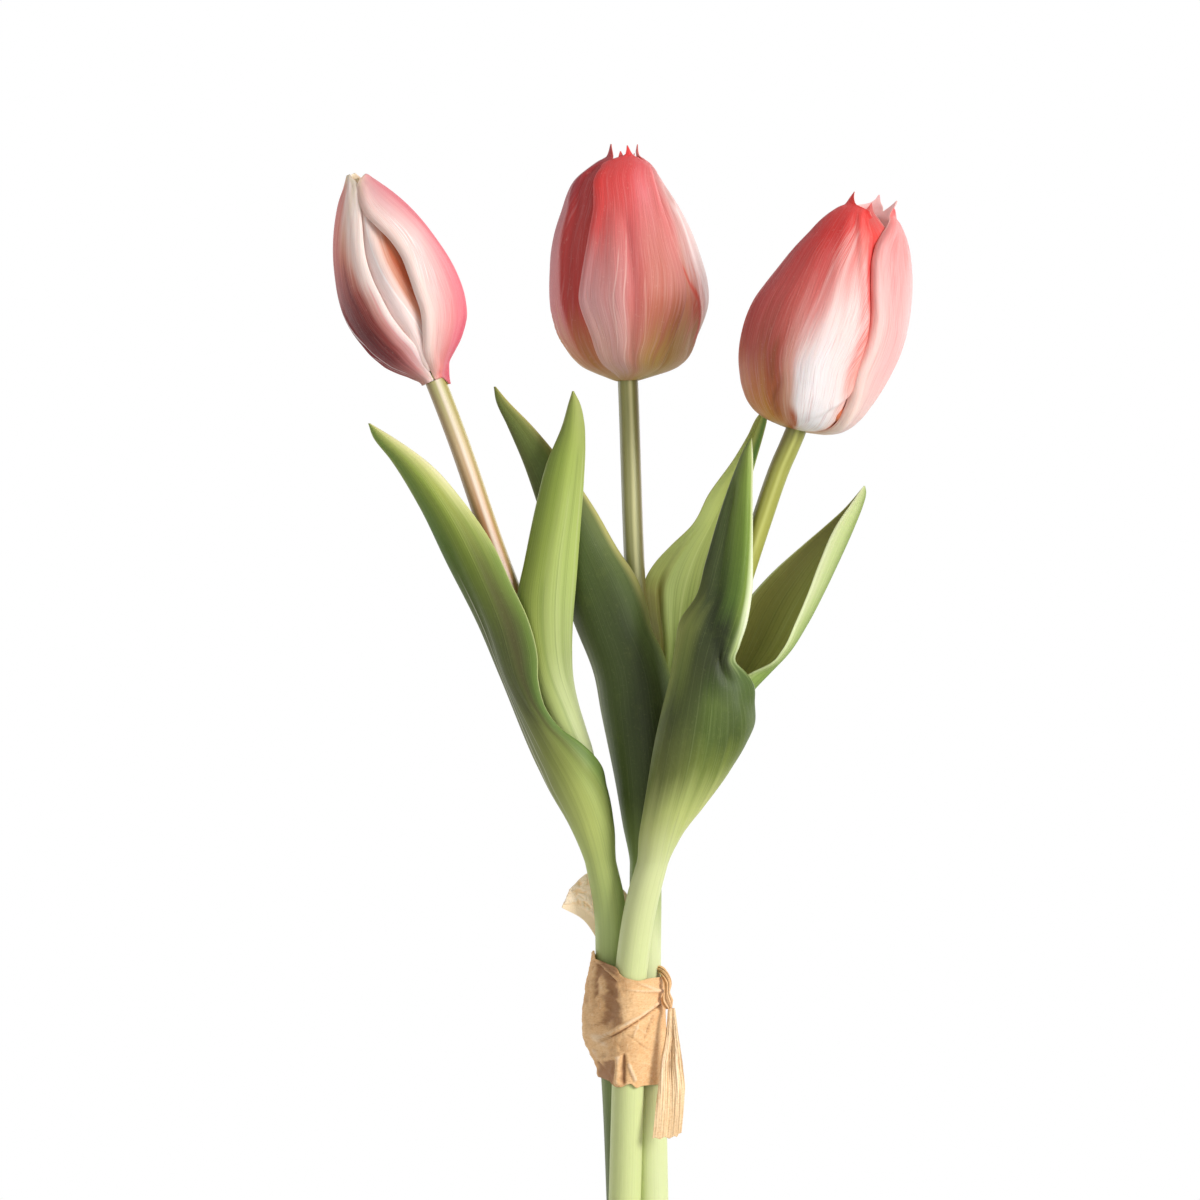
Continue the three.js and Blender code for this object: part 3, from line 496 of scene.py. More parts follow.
def linked(name, data):
    piece = bpy.data.objects.new(name, data)
    bpy.context.scene.collection.objects.link(piece)
    return piece


def finish_with(piece, material):
    piece.data.materials.clear()
    piece.data.materials.append(material)


def settle(piece, node, slot, material):
    """Gives a finished piece its material and its body, and hides the CAD node it stands for. The slot is not used.
    """
    finish_with(piece, material)
    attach(piece, "root")
    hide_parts(node)


# Centre lines

for tulip in TULIPS.values():
    top, x, y = tulip["axis"][-1]
    slope = math.tan(math.radians(tulip["lean"]))
    tulip["top"] = top
    beyond = [[top + rise, x + rise * slope, y] for rise in (2, FLUSH_LENGTH)]
    tulip["curve"] = through(tulip["axis"] + beyond)


def stem_frame(curve, heights, level):
    """Centre, side and depth directions of a stem at each height; level 0 keeps the section horizontal."""
    half = .5
    rise = (curve(heights + half) - curve(heights - half)) * np.asarray(level)[:, None]
    up = unit(np.concatenate([rise, np.full((len(heights), 1), 2 * half)], axis=1))
    side = unit(np.array([1.0, 0, 0]) - up * up[:, :1])
    centre = np.concatenate([curve(heights), heights[:, None]], axis=1)
    return centre, side, np.cross(up, side)


# Leaves

def leaf_margins(tulip, leaf, foot_heights, foot_radius):
    """Curves of the left margin, rib and right margin, and of the bulges, from the closed foot to the tip."""
    feet = []
    for z in foot_heights:
        x, y = tulip["curve"](z)[0]
        slit = math.radians(leaf["slit"])
        near = [z, x + foot_radius * math.cos(slit), y + foot_radius * math.sin(slit)]
        far = [z, x - foot_radius * math.cos(slit), y - foot_radius * math.sin(slit)]
        feet.append((near, far))
    left = through([near for near, far in feet] + leaf["left"])
    rib = through([far for near, far in feet] + leaf["rib"])
    right = through([near for near, far in feet] + leaf["right"])
    bulge = through([[z, 1, 1] for z in foot_heights] + leaf["bulge"])
    return left, rib, right, bulge


def across_shares(columns, crowding):
    """Shares across a leaf or a petal, closer together at its edges."""
    even = np.linspace(0, 1, columns + 1)
    return even - crowding * np.sin(2 * np.pi * even) / (2 * np.pi)


def blade_rows(tulip, leaf, heights, foot_heights, foot_radius, shares):
    left, rib, right, bulge = leaf_margins(tulip, leaf, foot_heights, foot_radius)
    bulges = bulge(heights) * leaf["turn"]
    first = shares < .5 + 1e-9
    near = arc_points(left(heights), rib(heights), bulges[:, 0], 2 * shares[first])
    far = arc_points(rib(heights), right(heights), bulges[:, 1], 2 * shares[~first] - 1)
    flat = np.concatenate([near, far], axis=1)
    level = np.broadcast_to(heights[:, None, None], flat.shape[:2] + (1,))
    return np.concatenate([flat, level], axis=2)


def leaf_heights(bottom, tip, count):
    """Heights up a blade, closer together towards the tip, where it narrows."""
    share = np.linspace(0, 1, count)
    return bottom + (tip - bottom) * (share + .12 * np.sin(np.pi * share) * share)


def folded(middle, z, shares, folds):
    """Presses soft folds into a leaf. Each is rows of height and place across, a width, and a depth."""
    push = np.zeros(middle.shape[:2])
    for line, width, depth in folds:
        low, high = line[0][0], line[-1][0]
        aim = np.interp(z, *np.array(line).T)
        within = eased(z, low, low + 6) * (1 - eased(z, high - 8, high))
        push += depth * within[:, None] * bell(shares[None, :], aim[:, None], width)
    return pushed(middle, push)


def outer_leaf(name, side):
    """A sleeve round the stem from the cut end up, which splits open into a blade."""
    tulip, leaf = TULIPS[side], LEAVES[side, "outer"]
    shares = across_shares(LEAF_ACROSS, LEAF_CROWDING)
    low = np.concatenate([np.linspace(0, 3, 4), np.linspace(6, SLEEVE_TOP, SLEEVE_ALONG)])
    level = eased(low, 0, FLUSH_LENGTH) * (1 - eased(low, SLEEVE_TOP - 18, SLEEVE_TOP))
    centre, across, depth = stem_frame(tulip["curve"], low, level)
    middle_radius = (SLEEVE_BORE + SLEEVE_RADIUS) / 2
    angles = math.radians(leaf["slit"]) + leaf["turn"] * 2 * np.pi * shares
    sleeve = centre[:, None] + middle_radius * ring_directions(angles, across, depth)
    tip = leaf["rib"][-1][0]
    high = leaf_heights(SLEEVE_TOP, tip, LEAF_ALONG)[1:]
    blade = blade_rows(tulip, leaf, high, [SLEEVE_TOP - 9, SLEEVE_TOP], middle_radius, shares)
    blade = folded(blade, high, shares, leaf.get("folds", []))
    middle = np.concatenate([sleeve, blade])
    z = np.concatenate([low, high])
    wall = SLEEVE_RADIUS - SLEEVE_BORE
    body = LEAF_THICKNESS + (wall - LEAF_THICKNESS) * (1 - eased(z, SLEEVE_TOP - 10, SLEEVE_TOP + 8))
    rounded = eased(z, SLEEVE_TOP, SLEEVE_TOP + 3)[:, None] * (1 - margin_share(middle, LEAF_ROUNDING))
    thickness = np.maximum(body[:, None] * (1 - rounded), MARGIN_THICKNESS)
    return thickened(name, middle, end_rounding(thickness, z, tip), shares, len(low))


def inner_leaf(name, side):
    """A split collar round the stem, which goes over into a blade."""
    tulip, leaf = TULIPS[side], LEAVES[side, "inner"]
    shares = across_shares(LEAF_ACROSS, LEAF_CROWDING)
    tip = leaf["rib"][-1][0]
    z = leaf_heights(COLLAR_BOTTOM, tip, LEAF_ALONG)
    middle = blade_rows(tulip, leaf, z, [COLLAR_BOTTOM], COLLAR_RADIUS, shares)
    middle = folded(middle, z, shares, leaf.get("folds", []))
    open_slit(middle, z)
    thickness = np.maximum(LEAF_THICKNESS * margin_share(middle, LEAF_ROUNDING), MARGIN_THICKNESS)
    return thickened(name, middle, end_rounding(thickness, z, tip), shares, inner_first=leaf["turn"] < 0)


def open_slit(middle, z):
    """Draws the two margins of a split collar a little apart."""
    share = 1 - eased(z, COLLAR_BOTTOM, COLLAR_BOTTOM + 12)
    for margin, beside in ((0, 2), (-1, -3)):
        inward = unit(middle[:, beside] - middle[:, margin])
        middle[:, margin] += inward * (SLIT_HALF_GAP * share)[:, None]


def end_rounding(thickness, z, tip):
    """Thins a leaf over the last few millimetres to its tip."""
    share = np.sqrt(np.clip((tip - z) / TIP_LENGTH, .02, 1))[:, None]
    return np.maximum(thickness * share, TIP_THICKNESS)


# Flower heads

def head_points(tulip, azimuth, radius, height):
    """Points of a head from its own frame; azimuths are in degrees and 0 is the front."""
    lean = math.radians(tulip["lean"])
    turn = np.radians(azimuth)
    across = radius * np.sin(turn) + through(tulip["shift"])(height.ravel())[:, 0].reshape(height.shape)
    x, y = tulip["curve"](tulip["top"])[0]
    return np.stack([
        x + across * math.cos(lean) + height * math.sin(lean),
        y - radius * np.cos(turn),
        tulip["top"] - across * math.sin(lean) + height * math.cos(lean),
    ], -1)


def along_profile(rows):
    """Height and radius as a curve of the share of the length along a profile."""
    points = np.array(rows, float)
    run = np.concatenate([[0], np.cumsum(np.linalg.norm(np.diff(points, axis=0), axis=1))])
    return through(np.column_stack([run / run[-1], points]))


def nested_profile(tulip):
    """The profile of the inner petals, just inside the outer ones, from their seat on the receptacle."""
    seat = [3, 3.85]
    rows = np.array(tulip["profile"])
    gap = through(tulip["inner_gap"])(rows[:, 0])[:, 0]
    share = rows[:, 0] / rows[-1, 0]
    nested = np.column_stack([rows[:, 0] - tulip["inner_drop"] * share, rows[:, 1] - gap])
    return [seat] + [list(row) for row in nested if row[0] > 5]


# What an edge of a petal does unless it says otherwise
PLAIN_EDGE = (0, .3, 0)
# Petals in each head. Rows of height and the azimuths of the two edges, in degrees from the front; then what each
# edge does, in millimetres: a roll that stands out, a tuck of the last millimetre inwards, and how far it goes
# under its neighbour. A ridge is rows of height and azimuth, a width in degrees, a height in millimetres, and a
# step, which is how much further out the petal is beyond it. A flare is rows of height and how far the petal
# stands out there, and a lobe hangs down from the foot: its azimuth, its width in degrees and its drop.
PETALS = {
    ("left", "outer", "left"): dict(
        edges=[[0, -125, 2], [5, -125, -4], [10, -125, -7], [14, -125, -13], [19.5, -125, -17], [25, -125, -18],
               [31, -125, -20], [37.5, -124, -20], [44, -122, -15], [49, -118, -9.5], [53, -112, -4.5],
               [57, -105, 0], [59.6, -85, -25]],
        left=(0, .5, 0), right=(.22, .25, 0),
        ridges=[
            ([[0, -26], [14, -30], [31, -34], [50, -30], [60, -34]], 8, .3, -.2),
            ([[2, -82], [12, -78], [30, -76]], 2.5, .3, -.15)]),
    ("left", "outer", "right"): dict(
        edges=[[0, 8, 116], [6, -1, 116], [11.5, 5, 116], [17.7, 12, 116], [23, 14, 116], [28.4, 16, 116],
               [34, 17, 116], [39, 13, 116], [43.6, 4, 115], [48.4, -7, 112], [51.5, -10, 108], [54, -8, 105],
               [56.3, 4, 100], [57.4, 22, 92], [58.1, 50, 70]],
        left=(.7, .7, 0), right=(0, .5, 0), flare=[[54, 0], [58.1, .7]], lobes=[(80, 16, 2.4)],
        ridges=[([[0, 30], [20, 42], [34, 46], [48, 30], [60, 20]], 10, -.3, 0)]),
    ("left", "outer", "back"): dict(
        edges=[[0, 112, 240], [30, 110, 242], [52, 112, 240], [59.6, 150, 205]], left=(0, .5, 1.2),
        right=(0, .5, 1.2)),
    ("left", "inner", "front"): dict(
        edges=[[0, -52, 46], [8, -54, 48], [50, -54, 48], [55, -46, 60], [57.9, -12, 50]],
        ridges=[([[0, -2], [14, -4], [30, -6], [45, -8], [60, -8]], 7, .55, -.3)]),
    ("left", "inner", "right"): dict(
        edges=[[0, 76, 164], [8, 74, 166], [50, 74, 166], [55, 90, 150], [57, 110, 130]]),
    ("left", "inner", "left"): dict(
        edges=[[0, -172, -84], [8, -174, -82], [50, -174, -82], [55, -156, -98], [57, -136, -120]]),
    ("centre", "outer", "front"): dict(
        edges=[[0, -40, 52], [2, -40, 42], [10, -36, 44], [22, -41, 47], [27, -38, 47], [38, -31, 45],
               [49, -30, 52], [56, -38, 72], [58, -40, 86], [59, -14, 78], [59.8, 18, 62], [60.8, 28, 52],
               [62.4, 37, 41]],
        left=(.35, .8, 0), right=(.3, .8, 0),
        ridges=[
            ([[0, -2], [14, 2], [30, 3], [44, 4]], 3.6, -.42, 0),
            ([[0, -10], [14, -9], [30, -9], [46, -6]], 5, .3, 0),
            ([[0, 8], [14, 13], [30, 14], [46, 16]], 6, .26, 0),
            ([[6, 30], [14, 33], [30, 32], [45, 38], [60, 60]], 8, .25, 0)]),
    ("centre", "outer", "left"): dict(
        edges=[[0, -160, -24], [10, -162, -22], [38, -162, -18], [52, -160, -16], [57, -150, -20],
               [58.4, -120, -22], [59.4, -80, -26], [60.6, -66, -33], [61.6, -58, -38], [63, -50, -45]],
        left=(0, .6, .8), right=(0, .4, .5),
        ridges=[
            ([[2, -56], [13, -54], [21, -56], [28, -57], [38, -58], [45, -58], [51, -64], [60, -60]], 6, .5, -1.1),
            ([[0, -66], [6, -74], [13, -92], [22, -104]], 2.2, .3, -.12),
            ([[0, -60], [6, -66], [13, -80], [22, -92]], 2.2, .3, 0)]),
    ("centre", "outer", "right"): dict(
        edges=[[0, 30, 172], [10, 30, 174], [38, 34, 174], [52, 50, 172], [57, 66, 160], [58.4, 76, 130],
               [59.2, 80, 124], [59.9, 84, 118], [61, 87, 115], [61.9, 92, 108], [62.8, 98, 102]],
        left=(0, .4, 1.5), right=(0, .6, .8), flare=[[54, 0], [56.5, .4], [58.2, 1.5], [62.8, 2.2]],
        ridges=[
            ([[5, 84], [14, 69], [20, 58], [27, 56], [37, 58], [46, 66], [52, 80]], 5, .6, 0),
            ([[5, 76], [14, 62], [20, 52], [27, 50], [37, 52], [46, 60], [52, 74]], 3, -.35, 0)]),
    ("centre", "inner", "left"): dict(
        edges=[[0, -91, 9], [8, -92, 10], [52, -92, 10], [57.2, -60, 20], [58.6, -14, 26], [59.8, -6, 16],
               [60.9, 2, 8]]),
    ("centre", "inner", "right"): dict(
        edges=[[0, 14, 110], [8, 14, 110], [52, 14, 110], [57.2, 50, 118], [58.6, 76, 116], [59.4, 82, 108],
               [60.4, 88, 95]],
        flare=[[57, 0], [60.4, 1]]),
    ("centre", "inner", "back"): dict(
        edges=[[0, 130, 230], [8, 130, 230], [52, 130, 230], [57.2, 150, 220], [58.6, 166, 206], [59.4, 176, 196]]),
    ("right", "outer", "front"): dict(
        edges=[[0, -78, 66], [2, -78, 62], [5, -78, 57], [10, -78, 52], [16.6, -78, 44], [23, -78, 43],
               [31, -78, 40], [42, -78, 30], [50, -78, 26], [55, -76, 22], [57.5, -74, 14], [59, -73, 4],
               [60, -72, -6], [60.6, -71, -33], [61.6, -69, -45], [62.6, -65, -51], [64, -59, -57]],
        left=(.2, .7, 0), right=(0, .4, 1.2),
        ridges=[
            ([[0, -8], [10, 0], [20, 2], [30, 0], [45, -12], [60, -30]], 9, .5, 0),
            ([[0, 4], [12, 37], [20, 32], [28, 28], [41, 14], [50, 2], [61, -18]], 4, .5, -1.2),
            ([[0, -34], [3, -32], [8, -26], [13, -22]], 4, -.8, 0),
            ([[4, -46], [20, -46], [35, -48], [50, -50]], 8, -.25, 0)]),
    ("right", "outer", "right"): dict(
        edges=[[0, 66, 136], [1.5, 59, 136], [5, 50, 136], [9.7, 44, 136], [16.6, 36, 136], [23, 35, 136],
               [31, 32, 136], [42, 21, 135], [48, 17, 134], [52, 19, 132], [55, 26, 128], [57.5, 36, 122],
               [59.4, 45, 108], [60.8, 51, 88], [61.8, 55, 72], [62.6, 58, 61]],
        left=(.7, 1.3, 0), right=(0, .6, 0),
        ridges=[([[0, 74], [16, 56], [31, 54], [45, 48], [58, 62]], 9, -.3, 0)]),
    ("right", "outer", "back"): dict(
        edges=[[0, -216, -92], [10, -218, -90], [50, -218, -88], [56, -216, -92], [59, -216, -108],
               [60.5, -214, -132], [61.5, -213, -150], [62.6, -210, -172], [63.6, -203, -183], [65.6, -195, -192]],
        left=(0, .5, .8), right=(0, .5, 1.1)),
    ("right", "inner", "front"): dict(
        edges=[[0, -16, 76], [8, -18, 78], [50, -18, 78], [54, -17, 58], [56, -16, 40], [58.6, -14, 20],
               [60, -11, 9], [61.2, -6, 3], [62.1, -3, -1]]),
    ("right", "inner", "back"): dict(
        edges=[[0, 102, 198], [8, 102, 198], [50, 102, 198], [56, 104, 192], [59, 108, 180], [61, 112, 150],
               [62.5, 112, 136], [64, 112, 124], [65, 113, 116]],
        flare=[[60, 0], [65, 1]]),
    ("right", "inner", "left"): dict(
        edges=[[0, -140, -44], [8, -140, -44], [50, -140, -44], [56, -136, -54], [58.6, -128, -62],
               [59.8, -110, -78], [60.6, -98, -90]]),
}


def cut_at(rows, end):
    """The rows of a profile up to a height, with one at that height."""
    heights, radii = np.array(rows).T
    return [row for row in rows if row[0] < end - .1] + [[end, float(np.interp(end, heights, radii))]]


def petal(name, side, ring, place):
    tulip, form = TULIPS[side], PETALS[side, ring, place]
    outer = ring == "outer"
    t = np.linspace(0, 1, PETAL_ALONG + 1)
    v = t + .35 * t * (1 - t) * (t - .1)
    u = across_shares(PETAL_ACROSS, PETAL_CROWDING)
    rows = cut_at(tulip["profile"] if outer else nested_profile(tulip), form["edges"][-1][0])
    height, radius = along_profile(rows)(v).T
    left, right = through(form["edges"])(height).T
    azimuth = left[:, None] + (right - left)[:, None] * u
    arc = math.pi / 180 * np.maximum(radius, 2)[:, None]
    body = (eased(v, 0, .1) * (1 - eased(v, .86, .98)))[:, None]
    flare = np.interp(height, *np.array(form.get("flare", [[0, 0], [1, 0]])).T)
    push = np.zeros(azimuth.shape) + flare[:, None]
    for edge, degrees in (("left", azimuth - left[:, None]), ("right", right[:, None] - azimuth)):
        roll, tuck, under = form.get(edge, PLAIN_EDGE)
        inward = degrees * arc
        push += body * roll * bell(inward, 1.9, 1.3)
        push -= (.15 + .85 * body) * tuck * (1 - eased(inward, 0, 1.2))
        push -= (.3 + .7 * body) * under * (1 - eased(inward, 1, 5))
    for line, width, rise, step in form.get("ridges", []):
        low, high = line[0][0], line[-1][0]
        beyond = azimuth - through(line)(np.clip(height, low, high))
        ends = (eased(height, low - 3, low + 4) * (1 - eased(height, high - 5, high)))[:, None]
        push += ends * (rise * bell(beyond, 0, width) + step * eased(beyond, 0, 1.6 * width))
    tall = np.broadcast_to(height[:, None], azimuth.shape)
    for centre, width, drop in form.get("lobes", []):
        lobe = bell(azimuth, centre, width) * (1 - eased(tall, .5, 4))
        tall = tall - drop * lobe
        push = push + .3 * drop * lobe
    middle = head_points(tulip, azimuth, radius[:, None] + push, tall)
    thickness = OUTER_PETAL_THICKNESS if outer else INNER_PETAL_THICKNESS
    wall = thickness * (1 - .6 * eased(v, .8, 1))[:, None] * margin_share(middle, PETAL_ROUNDING)
    return thickened(name, middle, np.maximum(wall, MARGIN_THICKNESS), u)


# Stems: a soft tube with a blind bore along each centre line, made with Geometry Nodes

def tube_nodes():
    """A group that sweeps a tube along a path, with a bore that starts above its closed end."""
    tree = bpy.data.node_groups.new("Tube along a path", "GeometryNodeTree")
    asked = {"Path": "NodeSocketGeometry", "Radius": "NodeSocketFloat", "Bore": "NodeSocketFloat",
             "Plug": "NodeSocketFloat", "Overrun": "NodeSocketFloat", "Sides": "NodeSocketInt",
             "Material": "NodeSocketMaterial"}
    for name, kind in asked.items():
        tree.interface.new_socket(name, in_out="INPUT", socket_type=kind)
    tree.interface.new_socket("Tube", in_out="OUTPUT", socket_type="NodeSocketGeometry")
    shade = Shade("", tree)
    given = tree.nodes.new("NodeGroupInput")
    asked = {name: Value(shade, given.outputs[name]) for name in asked}
    path = shade.node("GeometryNodeMeshToCurve", sockets={0: asked["Path"]})
    length = shade.node("GeometryNodeCurveLength", sockets={0: path})

    def swept(start, end, radius):
        piece = shade.node("GeometryNodeTrimCurve", {"mode": "LENGTH"}, {0: path, 4: start, 5: end})
        circle = shade.node("GeometryNodeCurvePrimitiveCircle", sockets={"Resolution": asked["Sides"],
                                                                         "Radius": radius})
        return shade.node("GeometryNodeCurveToMesh", sockets={"Curve": piece, "Profile Curve": circle,
                                                              "Fill Caps": True})

    body = swept(0.0, length - asked["Overrun"], asked["Radius"])
    bore = swept(asked["Plug"], length, asked["Bore"])
    tube = shade.node("GeometryNodeMeshBoolean", {"operation": "DIFFERENCE"}, {0: body, 1: bore})
    tube = shade.node("GeometryNodeSetShadeSmooth", sockets={0: tube})
    tube = shade.node("GeometryNodeRealizeInstances", sockets={0: tube})
    tube = shade.node("GeometryNodeSetMaterial", sockets={"Geometry": tube, "Material": asked["Material"]})
    shade.node("NodeGroupOutput", sockets={0: tube})
    return tree


def stem(name, side, tree, material):
    tulip = TULIPS[side]
    overrun = 3
    z = np.concatenate([[0, 2], np.arange(5, tulip["top"] - 3, 3), [tulip["top"] - 1.5, tulip["top"]]])
    path = np.column_stack([tulip["curve"](z), z])
    path[1, :2] = path[0, :2]
    path = np.vstack([path, path[-1] + unit(path[-1] - path[-2]) * overrun])
    mesh = bpy.data.meshes.new(name)
    mesh.from_pydata((path * MM).tolist(), [(i, i + 1) for i in range(len(path) - 1)], [])
    piece = linked(name, mesh)
    modifier = piece.modifiers.new("Tube", "NODES")
    modifier.node_group = tree
    given = {"Radius": STEM_RADIUS * MM, "Bore": STEM_BORE * MM, "Plug": STEM_PLUG * MM, "Overrun": overrun * MM,
             "Sides": STEM_SIDES, "Material": material}
    for socket in tree.interface.items_tree:
        if socket.name in given:
            modifier[socket.identifier] = given[socket.name]
    view = bpy.context.evaluated_depsgraph_get()
    made = bpy.data.meshes.new_from_object(piece.evaluated_get(view))
    piece.modifiers.clear()
    piece.data = made
    made.set_sharp_from_angle(angle=math.radians(40))
    return piece


# Tie

KNOT_AZIMUTH = math.radians(-11)
# How far the band stands off the sleeves
BAND_EASE = .55
# Height of the front tail's upper end
TAIL_TOP = 111
# Heights of the band, and how far it bags out at the left
BAND_SLACK = [
    [90, 0], [93, .1], [96, .5], [99, 1.8], [102.5, 3], [107, 3.2], [115, 2.4], [120, 1.2], [123, .5], [127, 0]]
# Azimuth round from the knot in degrees, and the heights of the band's two edges
BAND_EDGES = [
    [0, 119.3, 90.9], [20, 119, 90.8], [40, 118.9, 90.4], [55, 119.1, 91.4], [70, 119.4, 91.2], [85, 119.8, 90.6],
    [98, 120.4, 90.6], [110, 121.6, 90.8], [120, 124.2, 91.2], [128, 126.2, 91.6], [140, 126, 92.4],
    [160, 125.4, 93], [200, 125, 93], [250, 123.4, 92], [300, 122, 91], [354, 121, 91]]
# Creases on the band's front, from x and z to x and z, with their width and depth
BAND_CREASES = [
    (12.2, 113.7, -5, 103.1, .42, .5), (12.2, 112.6, -5, 102, .32, -.7), (12.2, 114.8, 5, 118.4, .35, .5),
    (12, 115.4, 2, 116.6, .3, .45), (9, 109.5, 6.5, 103, .35, -.4), (5.4, 108.6, 3.6, 103.6, .3, .3),
    (1.3, 99.4, 1.2, 91.5, .45, -1), (0, 98.6, -.4, 91, .6, .8), (2.4, 97, 4.4, 92, .5, .6),
    (-4, 97.5, 1, 98.8, .4, .5), (-6.3, 124.6, -.6, 119.4, .28, .55), (-5.6, 123, -.4, 118.4, .3, -.5),
    (-7, 104, -2, 101, .7, .5), (-6.5, 112, -5.5, 121, .5, -.4), (-1.5, 117, -4, 106, 1.5, -.6),
    (-4.4, 117, 0, 113.4, .35, .4), (-6, 114.6, -2.4, 110, .35, .4), (6, 97, 10, 95.6, .4, .3),
    (-7, 109, -3, 113, .5, .4), (-6.6, 106.4, -1, 109.4, .4, -.35), (-4.6, 119.6, -2, 112, .6, .35),
    (-6.6, 100.4, -3.4, 95, .5, .5), (-5.4, 97, -2, 93, .5, -.5), (3, 107.6, 11.5, 101, .35, .25),
    (2, 104.6, 9, 99.4, .3, -.25), (8.4, 94.6, 8, 90.6, .4, .4)]
# Painted shade on the band's front, and a painted highlight where the last number is below 0: x and z, a lean,
# a width, a height and how much darker
BAND_PAINTED_SHADE = [(-2.2, 94.4, 0, 2.8, 3.4, .72), (-1.296, 112.6, -.16, 1.7, 5.6, .75), (-3, 123, 0, 3, 3.4, .6),
               (-5.4, 105, 0, 1.8, 4.5, -.22)]


def crumple(points, scale, seed):
    """Creased paper: ridges of noise at places in millimetres, from 0 in the flats to 1 on the creases."""
    shift = Vector((seed * 17.3, seed * 5.1, seed * 9.7))
    flat = points.reshape(-1, 3)
    values = [1 - abs(2 * noise.fractal(Vector(p) / scale + shift, .9, 2.1, 4)) for p in flat]
    return np.clip(np.array(values), 0, 1).reshape(points.shape[:2])


def round_sleeves(z, azimuth, ease):
    """Where a band drawn tight round the three sleeves runs, at heights and azimuths of the same shape."""
    normal = np.stack([np.cos(azimuth), np.sin(azimuth)], -1)
    centres = [tulip["curve"](z.ravel()).reshape(z.shape + (2,)) for tulip in TULIPS.values()]
    slack = through(BAND_SLACK)(z.ravel())[:, 0].reshape(z.shape)
    centres.append(centres[0] - np.stack([slack, slack * 0], -1))
    reach = np.stack([(centre * normal).sum(-1) for centre in centres])
    sharp = np.exp((reach - reach.max(0)) / .25)
    share = sharp / sharp.sum(0)
    middle = sum(centre * part[..., None] for centre, part in zip(centres, share))
    return middle + (SLEEVE_RADIUS + ease) * normal


def tie_band():
    """The loop round the sleeves, drawn tight and then creased, with a gap at the knot."""
    v, u = grid(130, 360)
    sweep = 357 - 354 * u
    top, bottom = through(BAND_EDGES)(np.clip(sweep - 14, 0, 354)).T
    z = bottom[None, :] + (top - bottom)[None, :] * v[:, None]
    azimuth = KNOT_AZIMUTH - np.radians(np.broadcast_to(sweep[None, :], z.shape))
    middle = np.concatenate([round_sleeves(z, azimuth, BAND_EASE), z[..., None]], -1)
    x, front = middle[..., 0], middle[..., 1] < 8
    loose = 1 + .7 * (1 - eased(x, -3, 4))
    push = loose * (.18 * crumple(middle, 6, 1) + .06 * crumple(middle, 2.6, 2))
    for x0, z0, x1, z1, width, depth in BAND_CREASES:
        run = np.array([x1 - x0, z1 - z0])
        length = math.hypot(*run)
        along = ((x - x0) * run[0] + (z - z0) * run[1]) / length ** 2
        aside = ((z - z0) * run[0] - (x - x0) * run[1]) / length
        within = eased(along, -.08, .12) * (1 - eased(along, .85, 1.1)) * front
        push = push + depth * within * bell(aside, 0, width)
    middle = pushed(middle, np.clip(push, -.45, 1.7))
    # Painted light and shade: darker where the paper is pressed in, on the loose left part and at the places listed
    # above, and paler where it stands out
    painted_light_and_shade = .42 - .8 * (push - .2 * loose)
    for x0, z0, lean, width, height, depth in BAND_PAINTED_SHADE:
        aside = (x - x0 - lean * (z - z0)) / width
        painted_light_and_shade = painted_light_and_shade + depth * bell(np.hypot(aside, (z - z0) / height), 0, 1) * front
    return thickened("band", middle, np.full(z.shape, PAPER_THICKNESS), u, painted_light_and_shade=np.clip(painted_light_and_shade, 0, 1))


def tie_knot():
    """A twisted, pleated strand that loops over the band's ends and is pinched at its waist."""
    path = through([[0, 10, 8.4, 121.9], [.25, 11.9, 6.6, 120.5], [.5, 13.1, 5.1, 117.7], [.68, 12.8, 4.4, 115.1],
                    [.85, 12.9, 4.1, 112.9], [1, 13.5, 4, 110.9]])
    girth = through([[0, .5], [.1, .85], [.3, .95], [.5, .95], [.66, .8], [.84, 1.4], [1, .75]])
    v = np.linspace(0, 1, 90)
    turns = np.linspace(0, 2 * np.pi, 65)
    centre = path(v)
    along = unit(np.gradient(centre, axis=0))
    side = unit(np.cross(along, [0, -1, 0]))
    twist = turns[None, :] + 2.4 * v[:, None]
    pleat = .13 * np.cos(6 * twist) + .08 * np.cos(11 * twist + 1)
    radius = girth(v)[:, :1] * (1 + pleat)
    radius[[0, -1]] *= .05
    middle = centre[:, None] + radius[..., None] * ring_directions(turns, side, np.cross(along, side))
    # Painted shade in the folds of the pleats, and a painted highlight on their ridges
    return solid_of_rings("knot", middle, np.clip(.66 - 2.2 * pleat, 0, 1))


def solid_of_rings(name, rings, painted_light_and_shade):
    """A closed body of a stack of rings, shut at both ends. The last point of a ring is its first again."""
    rows, columns = rings.shape[:2]
    index = np.arange(rows * columns).reshape(rows, columns)
    quads = np.stack([index[:-1, :-1], index[:-1, 1:], index[1:, 1:], index[1:, :-1]], -1).reshape(-1, 4)
    joined = np.arange(rows * columns)
    joined[index[:, -1]] = index[:, 0]
    v, u = grid(rows, columns)
    places = grid_places(u, v)[quads.ravel()]
    used, faces = np.unique(joined[quads], return_inverse=True)
    points = rings.reshape(-1, 3)[used] * MM
    ends = [[np.searchsorted(used, i) for i in index[row, :-1]] for row in (0, -1)]
    points = np.vstack([points, [points[end].mean(0) for end in ends]])
    caps = []
    for end, centre, flip in zip(ends, (len(points) - 2, len(points) - 1), (True, False)):
        for a, b in zip(end, end[1:] + end[:1]):
            caps.append([b, a, centre] if flip else [a, b, centre])
    places = np.vstack([places, [[.5, 0]] * (3 * (columns - 1)), [[.5, 1]] * (3 * (columns - 1))])
    # The shut ends are marked as painted shade
    marks = np.append(painted_light_and_shade.ravel()[used], [.8, .8])
    return mesh_piece(name, points, faces.reshape(-1, 4).tolist() + caps, places, marks)


def waves(turns):
    return np.cos(2 * np.pi * turns)


